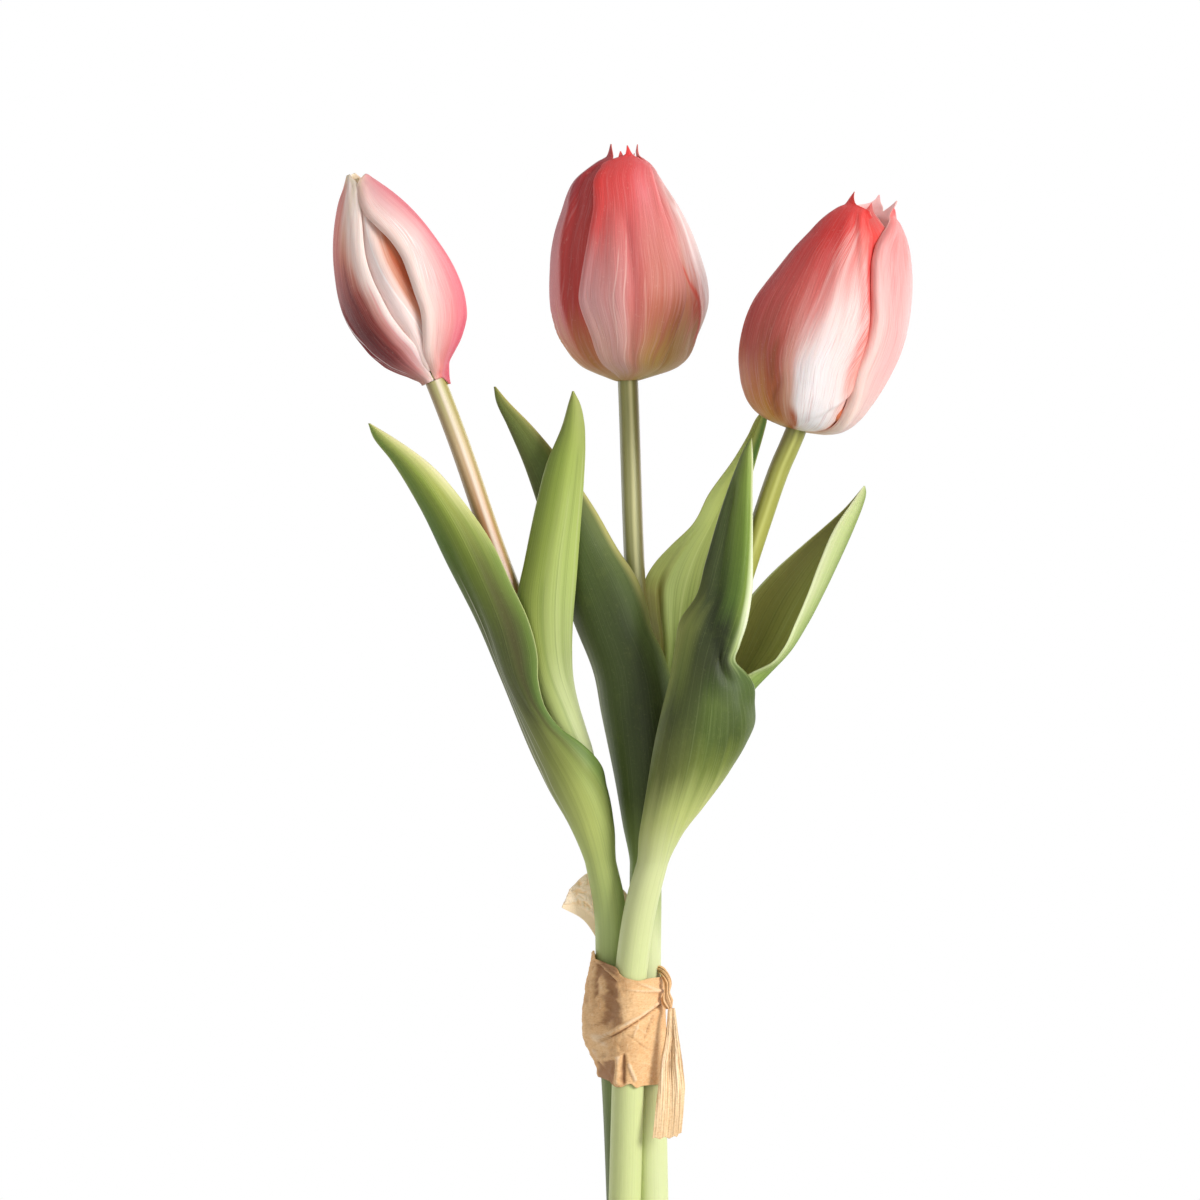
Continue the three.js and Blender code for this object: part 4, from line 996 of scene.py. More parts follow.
def front_tail():
    """The pleated end that hangs beside the knot and spreads towards its cut edge."""
    v, u = grid(150, 110)
    left, right = through([[0, 13.2, 14.9], [.15, 12.7, 15.5], [.27, 12.1, 16.1], [.42, 11, 16.8], [.6, 10.4, 17.4],
                           [.8, 9.6, 17.2], [1, 8.9, 16.6]])(v).T
    x = left[:, None] + (right - left)[:, None] * u[None, :]
    bottom = 77 + .5 * u + 1.1 * eased(u, .82, .9) + .25 * np.sin(19 * u)
    z = TAIL_TOP + (bottom[None, :] - TAIL_TOP) * v[:, None]
    drift = .25 * np.sin(3 * v)[:, None]
    pleat = .4 * waves(1.7 * u[None, :] + drift) + .12 * waves(6.4 * u[None, :] - drift)
    pleat = pleat + .12 * waves(11.3 * u[None, :] + .6 * np.sin(5 * v)[:, None])
    pleat = pleat * np.minimum(1, .45 + 1.2 * v)[:, None] * (1 - .82 * eased(v, .42, .9))[:, None]
    y = 4.2 + pleat - 10.5 * np.sqrt(v)[:, None]
    middle = np.stack([x, y, z], -1)
    fine = crumple(middle * np.array([1, 1, .35]), 2.2, 3)
    middle = pushed(middle, .1 * fine * eased(v, 0, .2)[:, None])
    # Painted shade in the folds of the pleats that lie further back, evened out towards the lower end
    painted_light_and_shade = np.clip(.5 + .9 * pleat - .2 * eased(v, .4, .8)[:, None], 0, 1)
    painted_light_and_shade = painted_light_and_shade + (.34 - painted_light_and_shade) * .8 * eased(v, .35, .8)[:, None]
    return thickened("front.tail", middle, np.full(x.shape, PAPER_THICKNESS), u, painted_light_and_shade=painted_light_and_shade)


def back_tail():
    """The crumpled end that stands out behind the left sleeve."""
    v, u = grid(130, 90)
    lower = through([[0, -3.4, .3], [.45, -5, 6], [.75, -9.6, 13], [1, -15.4, 16.4]])(v)
    upper = through([[0, 5, .3], [.45, 4.6, 11], [.75, 0, 22], [.92, -8.7, 25.5], [1, -13.4, 21.2]])(v)
    edge = lower[:, None] + (upper - lower)[:, None] * u[None, :, None]
    x, rise = edge[..., 0], edge[..., 1]
    azimuth = np.full((1, 1), math.radians(100))
    foot = round_sleeves(np.full((1, 1), 121.0), azimuth, .8)[0, 0]
    y = foot[1] + (x - foot[0]) * .27 - rise * .06
    middle = np.stack([x, y, 121.4 + rise], -1)
    face = eased(u, .16, .26)[None, :] * (1 - .6 * eased(u, .93, 1))[None, :]
    push = face * (.5 * crumple(middle, 3.2, 4) + .28 * crumple(middle, 1.3, 5)) + .05 * crumple(middle, 3, 6)
    middle = pushed(middle, push * eased(v, 0, .1)[:, None])
    # Painted shade where the crumpled paper sinks in and painted highlight where it stands out, less of it towards
    # the margins
    painted_light_and_shade = np.clip(.6 - 1.2 * push, 0, 1) * (.3 + .7 * face)
    return thickened("back.tail", middle, np.full(x.shape, PAPER_THICKNESS), u, painted_light_and_shade=painted_light_and_shade)


# Materials

def petal_material(name, columns, inside, rim, streaks, painted_glow, gloss, lines=(), ripples=()):
    """A printed petal: colours across and along it, feathery streaks, soft lines, slanting ripples and a rim.

    Its inside has colours of its own. Each of the ripples is a slant, the place along and across and how far they
    reach, a tint and a strength; the pale ones are painted highlight on fine ripples. The strength of its emission
    is painted light that brightens the inside near the tip. The gloss is how strongly the petal reflects.
    """
    shade = Shade(name)
    across, along = shade.uv()
    seed = float(len(bpy.data.materials))
    broad = shade.noise(shade.vector(across * 16, along * 1.6, seed), 1, 2, .6)
    fine = shade.noise(shade.vector(across * 95, along * 3.4, seed + 3), 1, 3, .65)
    feather = abs(across * 2 - 1) - along * .45
    veins = shade.noise(shade.vector(feather * 44, along * 2.2, seed + 7), 1, 4, .65)
    wander = (broad - .5) * .22 + (veins - .5) * .16 + (fine - .5) * .08
    body = shade.smooth(along, 0, .12) * shade.smooth(along, 1, .9)
    place = along + wander * (body * .7 + .3)
    colour = shade.blended(across, place, columns)
    inner = shade.mark()
    colour = shade.mix(shade.smooth(inner, .3, .7), colour, shade.tints(place, inside))
    light = shade.smooth(veins * .5 + fine * .5, .48, .66) * body
    colour = shade.mix(light * .15 * streaks, colour, tone(252, 232, 226))
    dark = shade.smooth(veins * .4 + fine * .6, .5, .36) * body
    colour = shade.mix(dark * .36 * streaks, colour, tone(176, 62, 52))
    colour = shade.strokes(colour, across, along, (fine - .5) * 1.2, lines)
    for slant, (rise, reach), (aside, spread), tint, strength in ripples:
        slanted = shade.vector((across + along * slant) * 165, (along - across * slant) * 5, seed)
        combed = shade.noise(slanted, 1, 2, .5)
        there = shade.bump_at(along, rise, reach) * shade.bump_at(across, aside, spread)
        colour = shade.mix(shade.smooth(combed, .47, .58) * there * strength, colour, tone(*tint))
    edge = shade.smooth(abs(across * 2 - 1), .93, .995) * shade.smooth(along, 0, .2)
    colour = shade.mix(edge * .6, colour, tone(*rim))
    speck = shade.noise(shade.place()[0], 900, 3, .6)
    colour = shade.mix(shade.smooth(speck, .6, .72) * .08, colour, tone(245, 215, 195))
    height = fine * .5 + veins * .8 + broad * .4 + speck * .12
    # Painted light: emission that brightens the inside near the tip
    painted_glow_place = shade.smooth(inner, .3, .7) * shade.smooth(along, .66, .9)
    painted_glow_colour = shade.mix(painted_glow_place, (0.0, 0.0, 0.0, 1.0), colour)
    return shade.surface(colour, .4 + fine * .12, shade.bump(height, .4, .0004), Specular_IOR_Level=gloss,
                         Emission_Color=painted_glow_colour, Emission_Strength=painted_glow,
                         Subsurface_Weight=.12, Subsurface_Radius=(.004, .0018, .0012), Subsurface_Scale=1)


def leaf_material(name, low, high, columns, inside, margin, lines=(), veined=1.0):
    """A moulded leaf: colours across it and from a low height to a high one, with some painted shade and highlight
    in them, veins, soft lines, some of them painted highlights and reflections, and a pale margin.

    Its inside has colours of its own, and veined is how strong the pale veins are.
    """
    shade = Shade(name)
    across, _ = shade.uv()
    place, (_, _, z) = shade.place()
    seed = float(len(bpy.data.materials))
    rise = (z - low) * (1 / (high - low))
    vein = shade.noise(shade.vector(across * 70, rise * 1.3, seed), 1, 3, .6)
    broad = shade.noise(shade.vector(across * 12, rise * 2.5, seed + 2), 1, 2, .5)
    mottle = shade.noise(place, 160, 3, .6)
    drift = rise + (broad - .5) * .05 + (vein - .5) * .03
    colour = shade.blended(across, drift, columns)
    lining = shade.blended(across, drift, inside)
    colour = shade.mix(shade.smooth(shade.mark(), .3, .7), colour, lining)
    fibre = shade.noise(shade.vector(across * 150, rise * 2.2, seed + 5), 1, 3, .6)
    colour = shade.mix(shade.smooth(vein, .52, .74) * .16 * veined, colour, tone(188, 204, 128))
    colour = shade.mix(shade.smooth(fibre, .56, .74) * .2 * veined, colour, tone(196, 208, 150))
    ribbed = shade.smooth(z, SLEEVE_TOP - 30, SLEEVE_TOP + 30) * .8 + .2
    colour = shade.mix(shade.smooth(vein, .48, .3) * .25 * ribbed, colour, tone(52, 70, 26))
    colour = shade.mix(shade.smooth(fibre, .46, .3) * .14 * ribbed, colour, tone(58, 74, 30))
    colour = shade.mix(shade.smooth(mottle, .55, .8) * .06, colour, tone(160, 175, 90))
    colour = shade.strokes(colour, across, drift, (vein - .5) * 1.4, lines)
    rim = shade.smooth(abs(across * 2 - 1), .955, .998) * shade.smooth(z, SLEEVE_TOP, SLEEVE_TOP + 15)
    colour = shade.mix(rim * .55, colour, tone(*margin))
    speck = shade.noise(place, 1300, 3, .6)
    colour = shade.mix(shade.smooth(speck, .56, .74) * .07, colour, tone(168, 176, 112))
    height = vein * .7 + broad * .3 + speck * .12 + fibre * .35
    return shade.surface(colour, .42 + mottle * .16, shade.bump(height, .4, .0003), Specular_IOR_Level=.22,
                         Subsurface_Weight=.06, Subsurface_Radius=(.002, .003, .001), Subsurface_Scale=1)


def stem_material(name, side, low, high, rows, edges, highlight_tint):
    """A soft stem: colours along it, darker tints at its two sides as seen from the front, which are painted shade,
    and a painted highlight.
    """
    shade = Shade(name)
    place, (x, y, z) = shade.place()
    rise = (z - low) * (1 / (high - low))
    shares = np.linspace(0, 1, 12)
    line = TULIPS[side]["curve"](low + (high - low) * shares)[:, 0]
    axis = shade.ramp(rise, [(share, ((at + 100) / 200,) * 3 + (1.0,)) for share, at in zip(shares, line)])
    aside = (x - (axis * 200 - 100)) / STEM_RADIUS
    grain = shade.noise(shade.vector(aside * 2.4, y * .2, z * .04), 1, 3, .6)
    colour = shade.tints(rise + (grain - .5) * .15, rows)
    left, right = (tone(*edge) for edge in edges)
    # Painted shade at the two sides, where the round stem turns away from the front
    colour = shade.mix(shade.smooth(aside, -.35, -.95) * .7, colour, left)
    colour = shade.mix(shade.smooth(aside, .35, .95) * .7, colour, right)
    # A painted highlight down the stem, a little right of its middle
    painted_highlight = shade.bump_at(aside + (grain - .5) * .2, .2, .36)
    colour = shade.mix(painted_highlight * .66, colour, tone(*highlight_tint))
    colour = shade.mix(shade.smooth(grain, .5, .7) * .12, colour, tone(205, 200, 140))
    speck = shade.noise(place, 1400, 2, .5)
    return shade.surface(colour, .34 + grain * .15, shade.bump(grain + speck * .1, .3, .0003),
                         Specular_IOR_Level=.45)


def paper_material(name, tint=0.0, painted_glow=0.0):
    """Thin brown kraft paper: long fibres, with painted light and shade from its mark: painted shade where the
    paper is pressed in, and a painted highlight, paler, where it stands out.

    The tint makes it paler, and its emission, of its own colour, is painted light that stands in for light coming
    through it.
    """
    shade = Shade(name)
    place, (x, y, z) = shade.place()
    cloud = shade.noise(place, 110, 4, .6)
    fibre = shade.noise(shade.vector(x * .9 + z * .4, y * .9, z * 3.2 - x * .8), 1, 4, .7)
    weave = shade.noise(shade.vector(x * 3, y * 3, z * .7), 1, 3, .6)
    colour = shade.tints(cloud * .35 + fibre * .45 + tint + .1, [
        (.25, 176, 120, 72), (.4, 216, 164, 110), (.55, 232, 190, 140), (.75, 244, 214, 172)])
    colour = shade.mix(shade.smooth(weave, .55, .75) * .3, colour, tone(244, 218, 184))
    colour = shade.mix(shade.smooth(fibre, .42, .28) * .3, colour, tone(160, 108, 68))
    painted_shading = shade.mark()
    # Painted shade where the mark is high, and a painted highlight where it is low
    colour = shade.mix(shade.smooth(painted_shading, .45, 1) * .7, colour, tone(118, 70, 38))
    colour = shade.mix(shade.smooth(painted_shading, .4, 0) * (.35 + tint), colour, tone(252, 232, 204))
    height = fibre * .6 + weave * .5 + cloud * .6
    return shade.surface(colour, .62 + fibre * .2, shade.bump(height, .5, .0004), Specular_IOR_Level=.25,
                         Emission_Color=colour, Emission_Strength=painted_glow,
                         Subsurface_Weight=.05, Subsurface_Radius=(.002, .0012, .0008), Subsurface_Scale=1)


def steel_material():
    shade = Shade("steel wire")
    _, (x, y, z) = shade.place()
    drawn = shade.noise(shade.vector(x * 6, y * 6, z * .2), 1, 3, .6)
    colour = shade.tints(drawn, [(.3, 120, 122, 124), (.7, 168, 170, 172)])
    return shade.surface(colour, .3 + drawn * .2, shade.bump(drawn, .3, .0001), Metallic=1)


def receptacle_material():
    shade = Shade("receptacle")
    mottle = shade.noise(shade.place()[0], 260, 3, .6)
    colour = shade.tints(mottle, [(.3, 168, 176, 98), (.7, 205, 208, 140)])
    return shade.surface(colour, .5 + mottle * .15, shade.bump(mottle, .3, .0003), Specular_IOR_Level=.35)


# Colours of each petal, as places across it and, at each, its colours from the foot to the tip. Some hold painted
# shade and highlight, as noted at each.
PETAL_LOOKS = {
    # The lighter pink high on the right, in the column at .7, is a painted highlight
    ("centre", "outer", "front"): [
        [.06, (0, 188, 148, 96), (.12, 206, 164, 144), (.36, 208, 156, 154), (.5, 205, 126, 124), (.6, 214, 80, 78),
         (.8, 222, 62, 60), (1, 216, 56, 58)],
        [.36, (0, 200, 156, 108), (.12, 206, 158, 146), (.36, 206, 142, 138), (.55, 206, 116, 112),
         (.7, 218, 82, 80), (1, 224, 54, 56)],
        [.5, (0, 200, 158, 112), (.16, 198, 132, 110), (.36, 200, 108, 102), (.55, 206, 100, 98),
         (.75, 216, 80, 80), (1, 220, 58, 60)],
        [.7, (0, 192, 154, 82), (.14, 192, 150, 86), (.3, 184, 112, 88), (.55, 204, 120, 112), (.74, 226, 122, 124),
         (.88, 220, 88, 90), (1, 220, 60, 62)],
        [.95, (0, 190, 156, 76), (.14, 188, 150, 76), (.28, 166, 104, 70), (.42, 200, 128, 116),
         (.72, 216, 112, 110), (1, 218, 70, 70)]],
    # Its dark rose is partly painted shade, where the petal turns away from the key lamp
    ("centre", "outer", "left"): [
        [.4, (0, 184, 150, 74), (.2, 190, 146, 84), (.34, 162, 78, 76), (.7, 150, 66, 72), (1, 178, 62, 70)],
        [.55, (0, 186, 152, 78), (.2, 194, 148, 96), (.34, 174, 88, 88), (.6, 160, 82, 88), (.8, 154, 62, 70),
         (1, 178, 62, 70)],
        [.66, (0, 180, 142, 78), (.2, 192, 136, 100), (.36, 182, 92, 90), (.6, 172, 88, 92), (.8, 156, 60, 68),
         (1, 178, 60, 68)],
        [.73, (0, 188, 150, 78), (.2, 182, 118, 76), (.36, 178, 70, 64), (.7, 178, 58, 58), (1, 182, 60, 64)],
        [.95, (0, 186, 146, 80), (.2, 188, 116, 82), (.36, 186, 74, 66), (.7, 180, 58, 56), (1, 184, 58, 62)]],
    ("centre", "outer", "right"): [
        [.05, (0, 178, 150, 78), (.22, 192, 152, 94), (.36, 200, 140, 108), (.6, 212, 118, 112), (1, 206, 88, 92)],
        [.2, (0, 178, 150, 78), (.22, 198, 156, 106), (.34, 212, 116, 94), (.48, 212, 172, 166),
         (.7, 214, 174, 168), (.88, 206, 104, 104), (1, 206, 84, 90)],
        [.42, (0, 168, 138, 74), (.2, 196, 160, 132), (.36, 214, 190, 184), (.6, 214, 192, 186),
         (.85, 206, 112, 112), (1, 204, 82, 90)]],
    # The dark mauve along its left edge, in the column at .04, is partly painted shade
    ("right", "outer", "front"): [
        [.04, (0, 146, 106, 46), (.12, 186, 124, 70), (.24, 182, 104, 76), (.34, 176, 82, 76), (.5, 186, 68, 68),
         (.75, 184, 48, 50), (1, 210, 44, 42)],
        [.22, (0, 176, 134, 52), (.12, 196, 138, 64), (.22, 192, 118, 66), (.34, 180, 90, 74), (.5, 206, 84, 78),
         (.72, 214, 48, 46), (.88, 226, 42, 40), (1, 230, 42, 40)],
        [.4, (0, 176, 128, 50), (.08, 188, 122, 50), (.18, 170, 92, 50), (.28, 164, 74, 52), (.42, 204, 98, 88),
         (.6, 218, 90, 84), (.75, 224, 54, 50), (1, 230, 40, 38)],
        [.49, (0, 168, 82, 44), (.05, 178, 96, 58), (.11, 206, 156, 128), (.2, 214, 166, 142), (.3, 214, 152, 136),
         (.42, 222, 144, 136), (.62, 224, 92, 88), (.8, 226, 52, 50), (1, 228, 40, 38)],
        [.56, (0, 198, 136, 96), (.05, 230, 200, 184), (.1, 244, 234, 230), (.3, 246, 234, 232),
         (.38, 242, 208, 202), (.49, 226, 142, 136), (.62, 216, 96, 90), (.78, 224, 60, 56), (1, 230, 40, 40)],
        [.67, (0, 236, 222, 200), (.12, 244, 236, 234), (.34, 246, 232, 230), (.47, 244, 208, 202),
         (.6, 234, 156, 150), (.74, 226, 96, 90), (.86, 226, 56, 52), (1, 230, 40, 38)],
        [.8, (0, 238, 226, 200), (.12, 242, 236, 234), (.3, 242, 222, 218), (.46, 242, 204, 198),
         (.63, 240, 172, 166), (.76, 232, 118, 110), (.87, 222, 64, 58), (1, 222, 46, 44)],
        [.9, (0, 226, 180, 150), (.14, 238, 214, 204), (.3, 232, 160, 148), (.46, 224, 96, 86), (.66, 220, 58, 52),
         (1, 214, 40, 38)],
        [.97, (0, 190, 110, 66), (.14, 206, 120, 84), (.3, 212, 84, 70), (.46, 210, 50, 44), (1, 206, 38, 36)]],
    ("right", "outer", "right"): [
        [.04, (0, 222, 180, 130), (.12, 236, 212, 196), (.4, 238, 196, 188), (.75, 236, 160, 156),
         (1, 226, 100, 98)],
        [.25, (0, 218, 186, 140), (.14, 234, 206, 196), (.4, 232, 180, 176), (.7, 230, 158, 154),
         (.88, 226, 116, 112), (1, 222, 84, 84)],
        [.7, (0, 214, 184, 140), (.14, 232, 200, 188), (.4, 230, 160, 156), (.7, 226, 130, 128), (.88, 222, 90, 90),
         (1, 220, 66, 68)]],
    ("right", "outer", "back"): [
        [.2, (0, 190, 155, 100), (.14, 222, 180, 165), (.4, 222, 146, 140), (.75, 220, 106, 104), (1, 222, 90, 90)],
        [.8, (0, 165, 120, 62), (.14, 186, 120, 84), (.4, 196, 88, 78), (.75, 196, 62, 58), (1, 206, 60, 58)]],
    # The deep red low across its middle is partly painted shade, and the near white high towards its right edge is
    # partly a painted highlight
    ("left", "outer", "left"): [
        [.3, (0, 178, 128, 110), (.08, 166, 104, 100), (.2, 138, 60, 62), (.34, 118, 38, 40), (.5, 148, 58, 56),
         (.62, 172, 78, 74), (.8, 190, 98, 98), (.95, 218, 152, 140), (1, 222, 196, 160)],
        [.44, (0, 184, 134, 118), (.08, 168, 104, 100), (.2, 130, 50, 52), (.34, 112, 32, 34), (.5, 138, 48, 44),
         (.62, 176, 78, 68), (.74, 202, 108, 98), (.9, 212, 124, 118), (1, 228, 204, 170)],
        [.57, (0, 196, 146, 130), (.08, 180, 108, 100), (.2, 118, 50, 52), (.31, 94, 32, 34), (.43, 112, 42, 42),
         (.54, 150, 56, 50), (.63, 188, 90, 76), (.74, 214, 128, 112), (.84, 220, 138, 128), (.94, 224, 182, 168),
         (1, 232, 212, 176)],
        [.73, (0, 214, 170, 160), (.1, 192, 112, 108), (.2, 136, 58, 58), (.3, 98, 32, 32), (.43, 116, 42, 40),
         (.53, 156, 74, 62), (.61, 204, 128, 104), (.69, 230, 176, 154), (.77, 244, 210, 198), (.92, 248, 228, 220),
         (1, 240, 222, 196)],
        [.82, (0, 226, 192, 184), (.1, 214, 138, 136), (.22, 160, 74, 70), (.34, 130, 50, 44), (.43, 154, 72, 62),
         (.51, 206, 134, 114), (.59, 238, 194, 178), (.7, 250, 222, 212), (1, 240, 222, 196)],
        [.9, (0, 230, 202, 192), (.12, 230, 174, 172), (.3, 214, 142, 134), (.4, 224, 168, 156),
         (.5, 244, 212, 202), (.8, 252, 230, 220), (1, 240, 222, 196)],
        [.97, (0, 232, 206, 198), (.12, 240, 208, 206), (.3, 242, 214, 208), (.5, 246, 224, 216),
         (.85, 244, 224, 212), (1, 236, 214, 176)]],
    ("left", "outer", "right"): [
        [.06, (0, 228, 170, 158), (.18, 240, 208, 198), (.5, 240, 212, 202), (.85, 236, 196, 184),
         (1, 238, 206, 180)],
        [.2, (0, 230, 150, 142), (.18, 232, 180, 174), (.4, 236, 190, 184), (.6, 236, 196, 188),
         (.85, 236, 188, 182), (1, 238, 190, 176)],
        [.33, (0, 226, 128, 122), (.18, 230, 152, 150), (.4, 236, 176, 174), (.6, 240, 196, 192),
         (.85, 236, 178, 178), (1, 236, 176, 172)],
        [.47, (0, 216, 132, 138), (.18, 226, 118, 130), (.4, 228, 126, 134), (.6, 232, 152, 154),
         (.85, 232, 158, 160), (1, 232, 160, 162)],
        [.62, (0, 204, 100, 112), (.18, 216, 74, 98), (.4, 218, 78, 98), (.6, 222, 104, 116), (.85, 226, 130, 138),
         (1, 226, 150, 150)],
        [.8, (0, 200, 90, 104), (.18, 212, 66, 92), (.5, 214, 68, 90), (.85, 222, 110, 120), (1, 224, 140, 140)]],
    ("left", "outer", "back"): [
        [.5, (0, 206, 130, 130), (.18, 214, 140, 140), (.5, 220, 120, 124), (.85, 222, 140, 132),
         (1, 226, 196, 130)]],
    # The near white towards its left is partly painted light against the shade of the gap between the outer petals,
    # and the orange red towards its right is partly painted shadow of the right petal
    ("left", "inner", "front"): [
        [.36, (0, 238, 206, 196), (.3, 246, 212, 206), (.6, 250, 220, 214), (.85, 244, 210, 198),
         (1, 238, 216, 180)],
        [.53, (0, 240, 210, 202), (.3, 248, 220, 214), (.6, 250, 228, 222), (.85, 244, 214, 202),
         (1, 238, 218, 180)],
        [.6, (0, 236, 200, 190), (.2, 240, 202, 192), (.55, 244, 210, 198), (.85, 242, 208, 196),
         (1, 238, 218, 180)],
        [.67, (0, 230, 180, 166), (.16, 224, 156, 130), (.34, 218, 140, 110), (.55, 228, 164, 140),
         (.75, 238, 196, 180), (1, 238, 214, 170)],
        [.75, (0, 216, 136, 104), (.16, 204, 106, 70), (.5, 206, 102, 66), (.75, 226, 156, 120),
         (1, 236, 206, 160)]],
    ("left", "inner", "right"): [
        [.5, (0, 215, 150, 110), (.3, 206, 104, 70), (.6, 214, 130, 100), (.9, 240, 200, 176), (1, 246, 228, 196)]],
    ("left", "inner", "left"): [
        [.5, (0, 215, 180, 140), (.3, 214, 140, 110), (.6, 222, 160, 136), (.9, 240, 204, 180),
         (1, 246, 228, 196)]],
}
for place in ("left", "right", "back"):
    PETAL_LOOKS["centre", "inner", place] = [
        [.1, (0, 195, 150, 105), (.3, 186, 78, 68), (.8, 196, 66, 64), (1, 214, 74, 76)],
        [.9, (0, 195, 150, 105), (.3, 190, 84, 72), (.8, 200, 72, 68), (1, 214, 78, 78)]]
for place in ("front", "back", "left"):
    PETAL_LOOKS["right", "inner", place] = [
        [.1, (0, 214, 152, 98), (.1, 206, 120, 70), (.2, 206, 96, 66), (.3, 214, 80, 60), (.8, 222, 56, 48),
         (.93, 214, 84, 80), (1, 222, 90, 88)],
        [.9, (0, 214, 152, 98), (.1, 206, 120, 70), (.2, 208, 100, 70), (.3, 216, 84, 64), (.8, 222, 60, 52),
         (.93, 210, 96, 92), (1, 222, 110, 108)]]

# What the petals of a head share: their rims, streaks, the strength of their emission, which is painted light that
# brightens the inside near the tip, and gloss, and the colours inside them, of which the pale pink at the top of
# the right head's inside is painted light too
HEAD_LOOKS = {
    "left": dict(rim=(243, 222, 212), streaks=.5, painted_glow=.2, gloss=.14, inside=[
        (0, 225, 200, 150), (.3, 238, 205, 188), (.8, 240, 200, 182), (1, 250, 234, 204)]),
    "centre": dict(rim=(222, 120, 110), streaks=.7, painted_glow=0.0, gloss=.22, inside=[
        (0, 215, 180, 130), (.3, 200, 96, 88), (.8, 206, 84, 80), (1, 216, 86, 84)]),
    "right": dict(rim=(240, 186, 176), streaks=.9, painted_glow=.24, gloss=.3, inside=[
        (0, 205, 140, 90), (.14, 206, 126, 78), (.3, 222, 124, 108), (.66, 220, 130, 124), (.86, 236, 176, 172),
        (1, 238, 184, 184)]),
}
# Lines drawn along petals. The white lines on the left head's left petal are painted reflections, the white line
# on its inner front petal is a painted highlight on a ridge, and the pale lines on the centre head's left petal and
# the whitish one on its right petal are painted highlights
PETAL_LINES = {
    ("left", "outer", "left"): [
        ([(.06, .56), (.16, .5), (.3, .46), (.44, .44)], .012, (252, 240, 236), .85),
        ([(.04, .5), (.12, .44), (.26, .41)], .009, (250, 236, 232), .7),
        ([(.1, .93), (.3, .93), (.5, .945)], .012, (226, 130, 134), .5)],
    ("left", "inner", "front"): [([(.08, .6), (.3, .57), (.6, .53), (.85, .5)], .014, (255, 246, 242), .6)],
    ("centre", "outer", "right"): [
        ([(.19, .34), (.26, .29), (.42, .13), (.5, .07)], .022, (208, 78, 60), .8),
        ([(.3, .36), (.45, .24), (.7, .17)], .04, (240, 220, 216), .5)],
    ("centre", "outer", "left"): [
        ([(.05, .5), (.12, .42), (.22, .36)], .01, (240, 214, 196), .8),
        ([(.08, .66), (.2, .6), (.34, .585)], .01, (232, 196, 180), .5)],
    ("centre", "outer", "front"): [
        ([(.1, .39), (.3, .41), (.6, .44)], .012, (250, 218, 206), .32),
        ([(.12, .61), (.3, .6), (.45, .59)], .012, (246, 206, 190), .22),
        ([(.16, .31), (.34, .33), (.55, .37)], .01, (250, 220, 208), .3),
        ([(0, .8), (.05, .78), (.12, .7)], .2, (188, 146, 76), .5)],
    ("right", "outer", "front"): [
        ([(.02, .53), (.09, .535), (.19, .5)], .06, (178, 88, 46), .95),
        ([(.3, .62), (.5, .66), (.82, .7)], .03, (252, 222, 216), .35),
        ([(.34, .5), (.6, .57), (.84, .64)], .024, (246, 190, 184), .35),
        ([(.08, .38), (.2, .37), (.4, .38)], .035, (150, 82, 48), .6),
        ([(.5, .9), (.8, .84), (.92, .7)], .03, (208, 34, 34), .5)],
}
# Slanting ripples on petals: a slant, the place along and across, how far they reach, a tint and a strength. The
# pale ones are painted highlight on the fabric's fine ripples, and the darker ones are partly printed feathering
# and partly painted shade of the ripples
PETAL_RIPPLES = {
    ("left", "outer", "right"): [(-.4, (.6, .34), (.17, .18), (255, 250, 248), .75),
                                 (-.16, (.3, .26), (.3, .18), (222, 96, 110), .5),
                                 (-.1, (.6, .3), (.46, .14), (250, 200, 204), .4)],
    ("left", "outer", "left"): [(.2, (.4, .3), (.8, .16), (214, 120, 110), .4)],
    ("centre", "outer", "front"): [(-.12, (.42, .3), (.72, .24), (188, 92, 72), .4),
                                   (.1, (.3, .26), (.3, .22), (252, 222, 210), .14)],
    ("right", "outer", "front"): [(-.5, (.42, .34), (.84, .14), (252, 226, 220), .5),
                                  (-.3, (.72, .2), (.62, .16), (252, 206, 198), .4),
                                  (-.2, (.4, .3), (.46, .12), (206, 110, 100), .35)],
    ("right", "outer", "right"): [(-.4, (.7, .3), (.2, .18), (206, 84, 90), .4)],
}
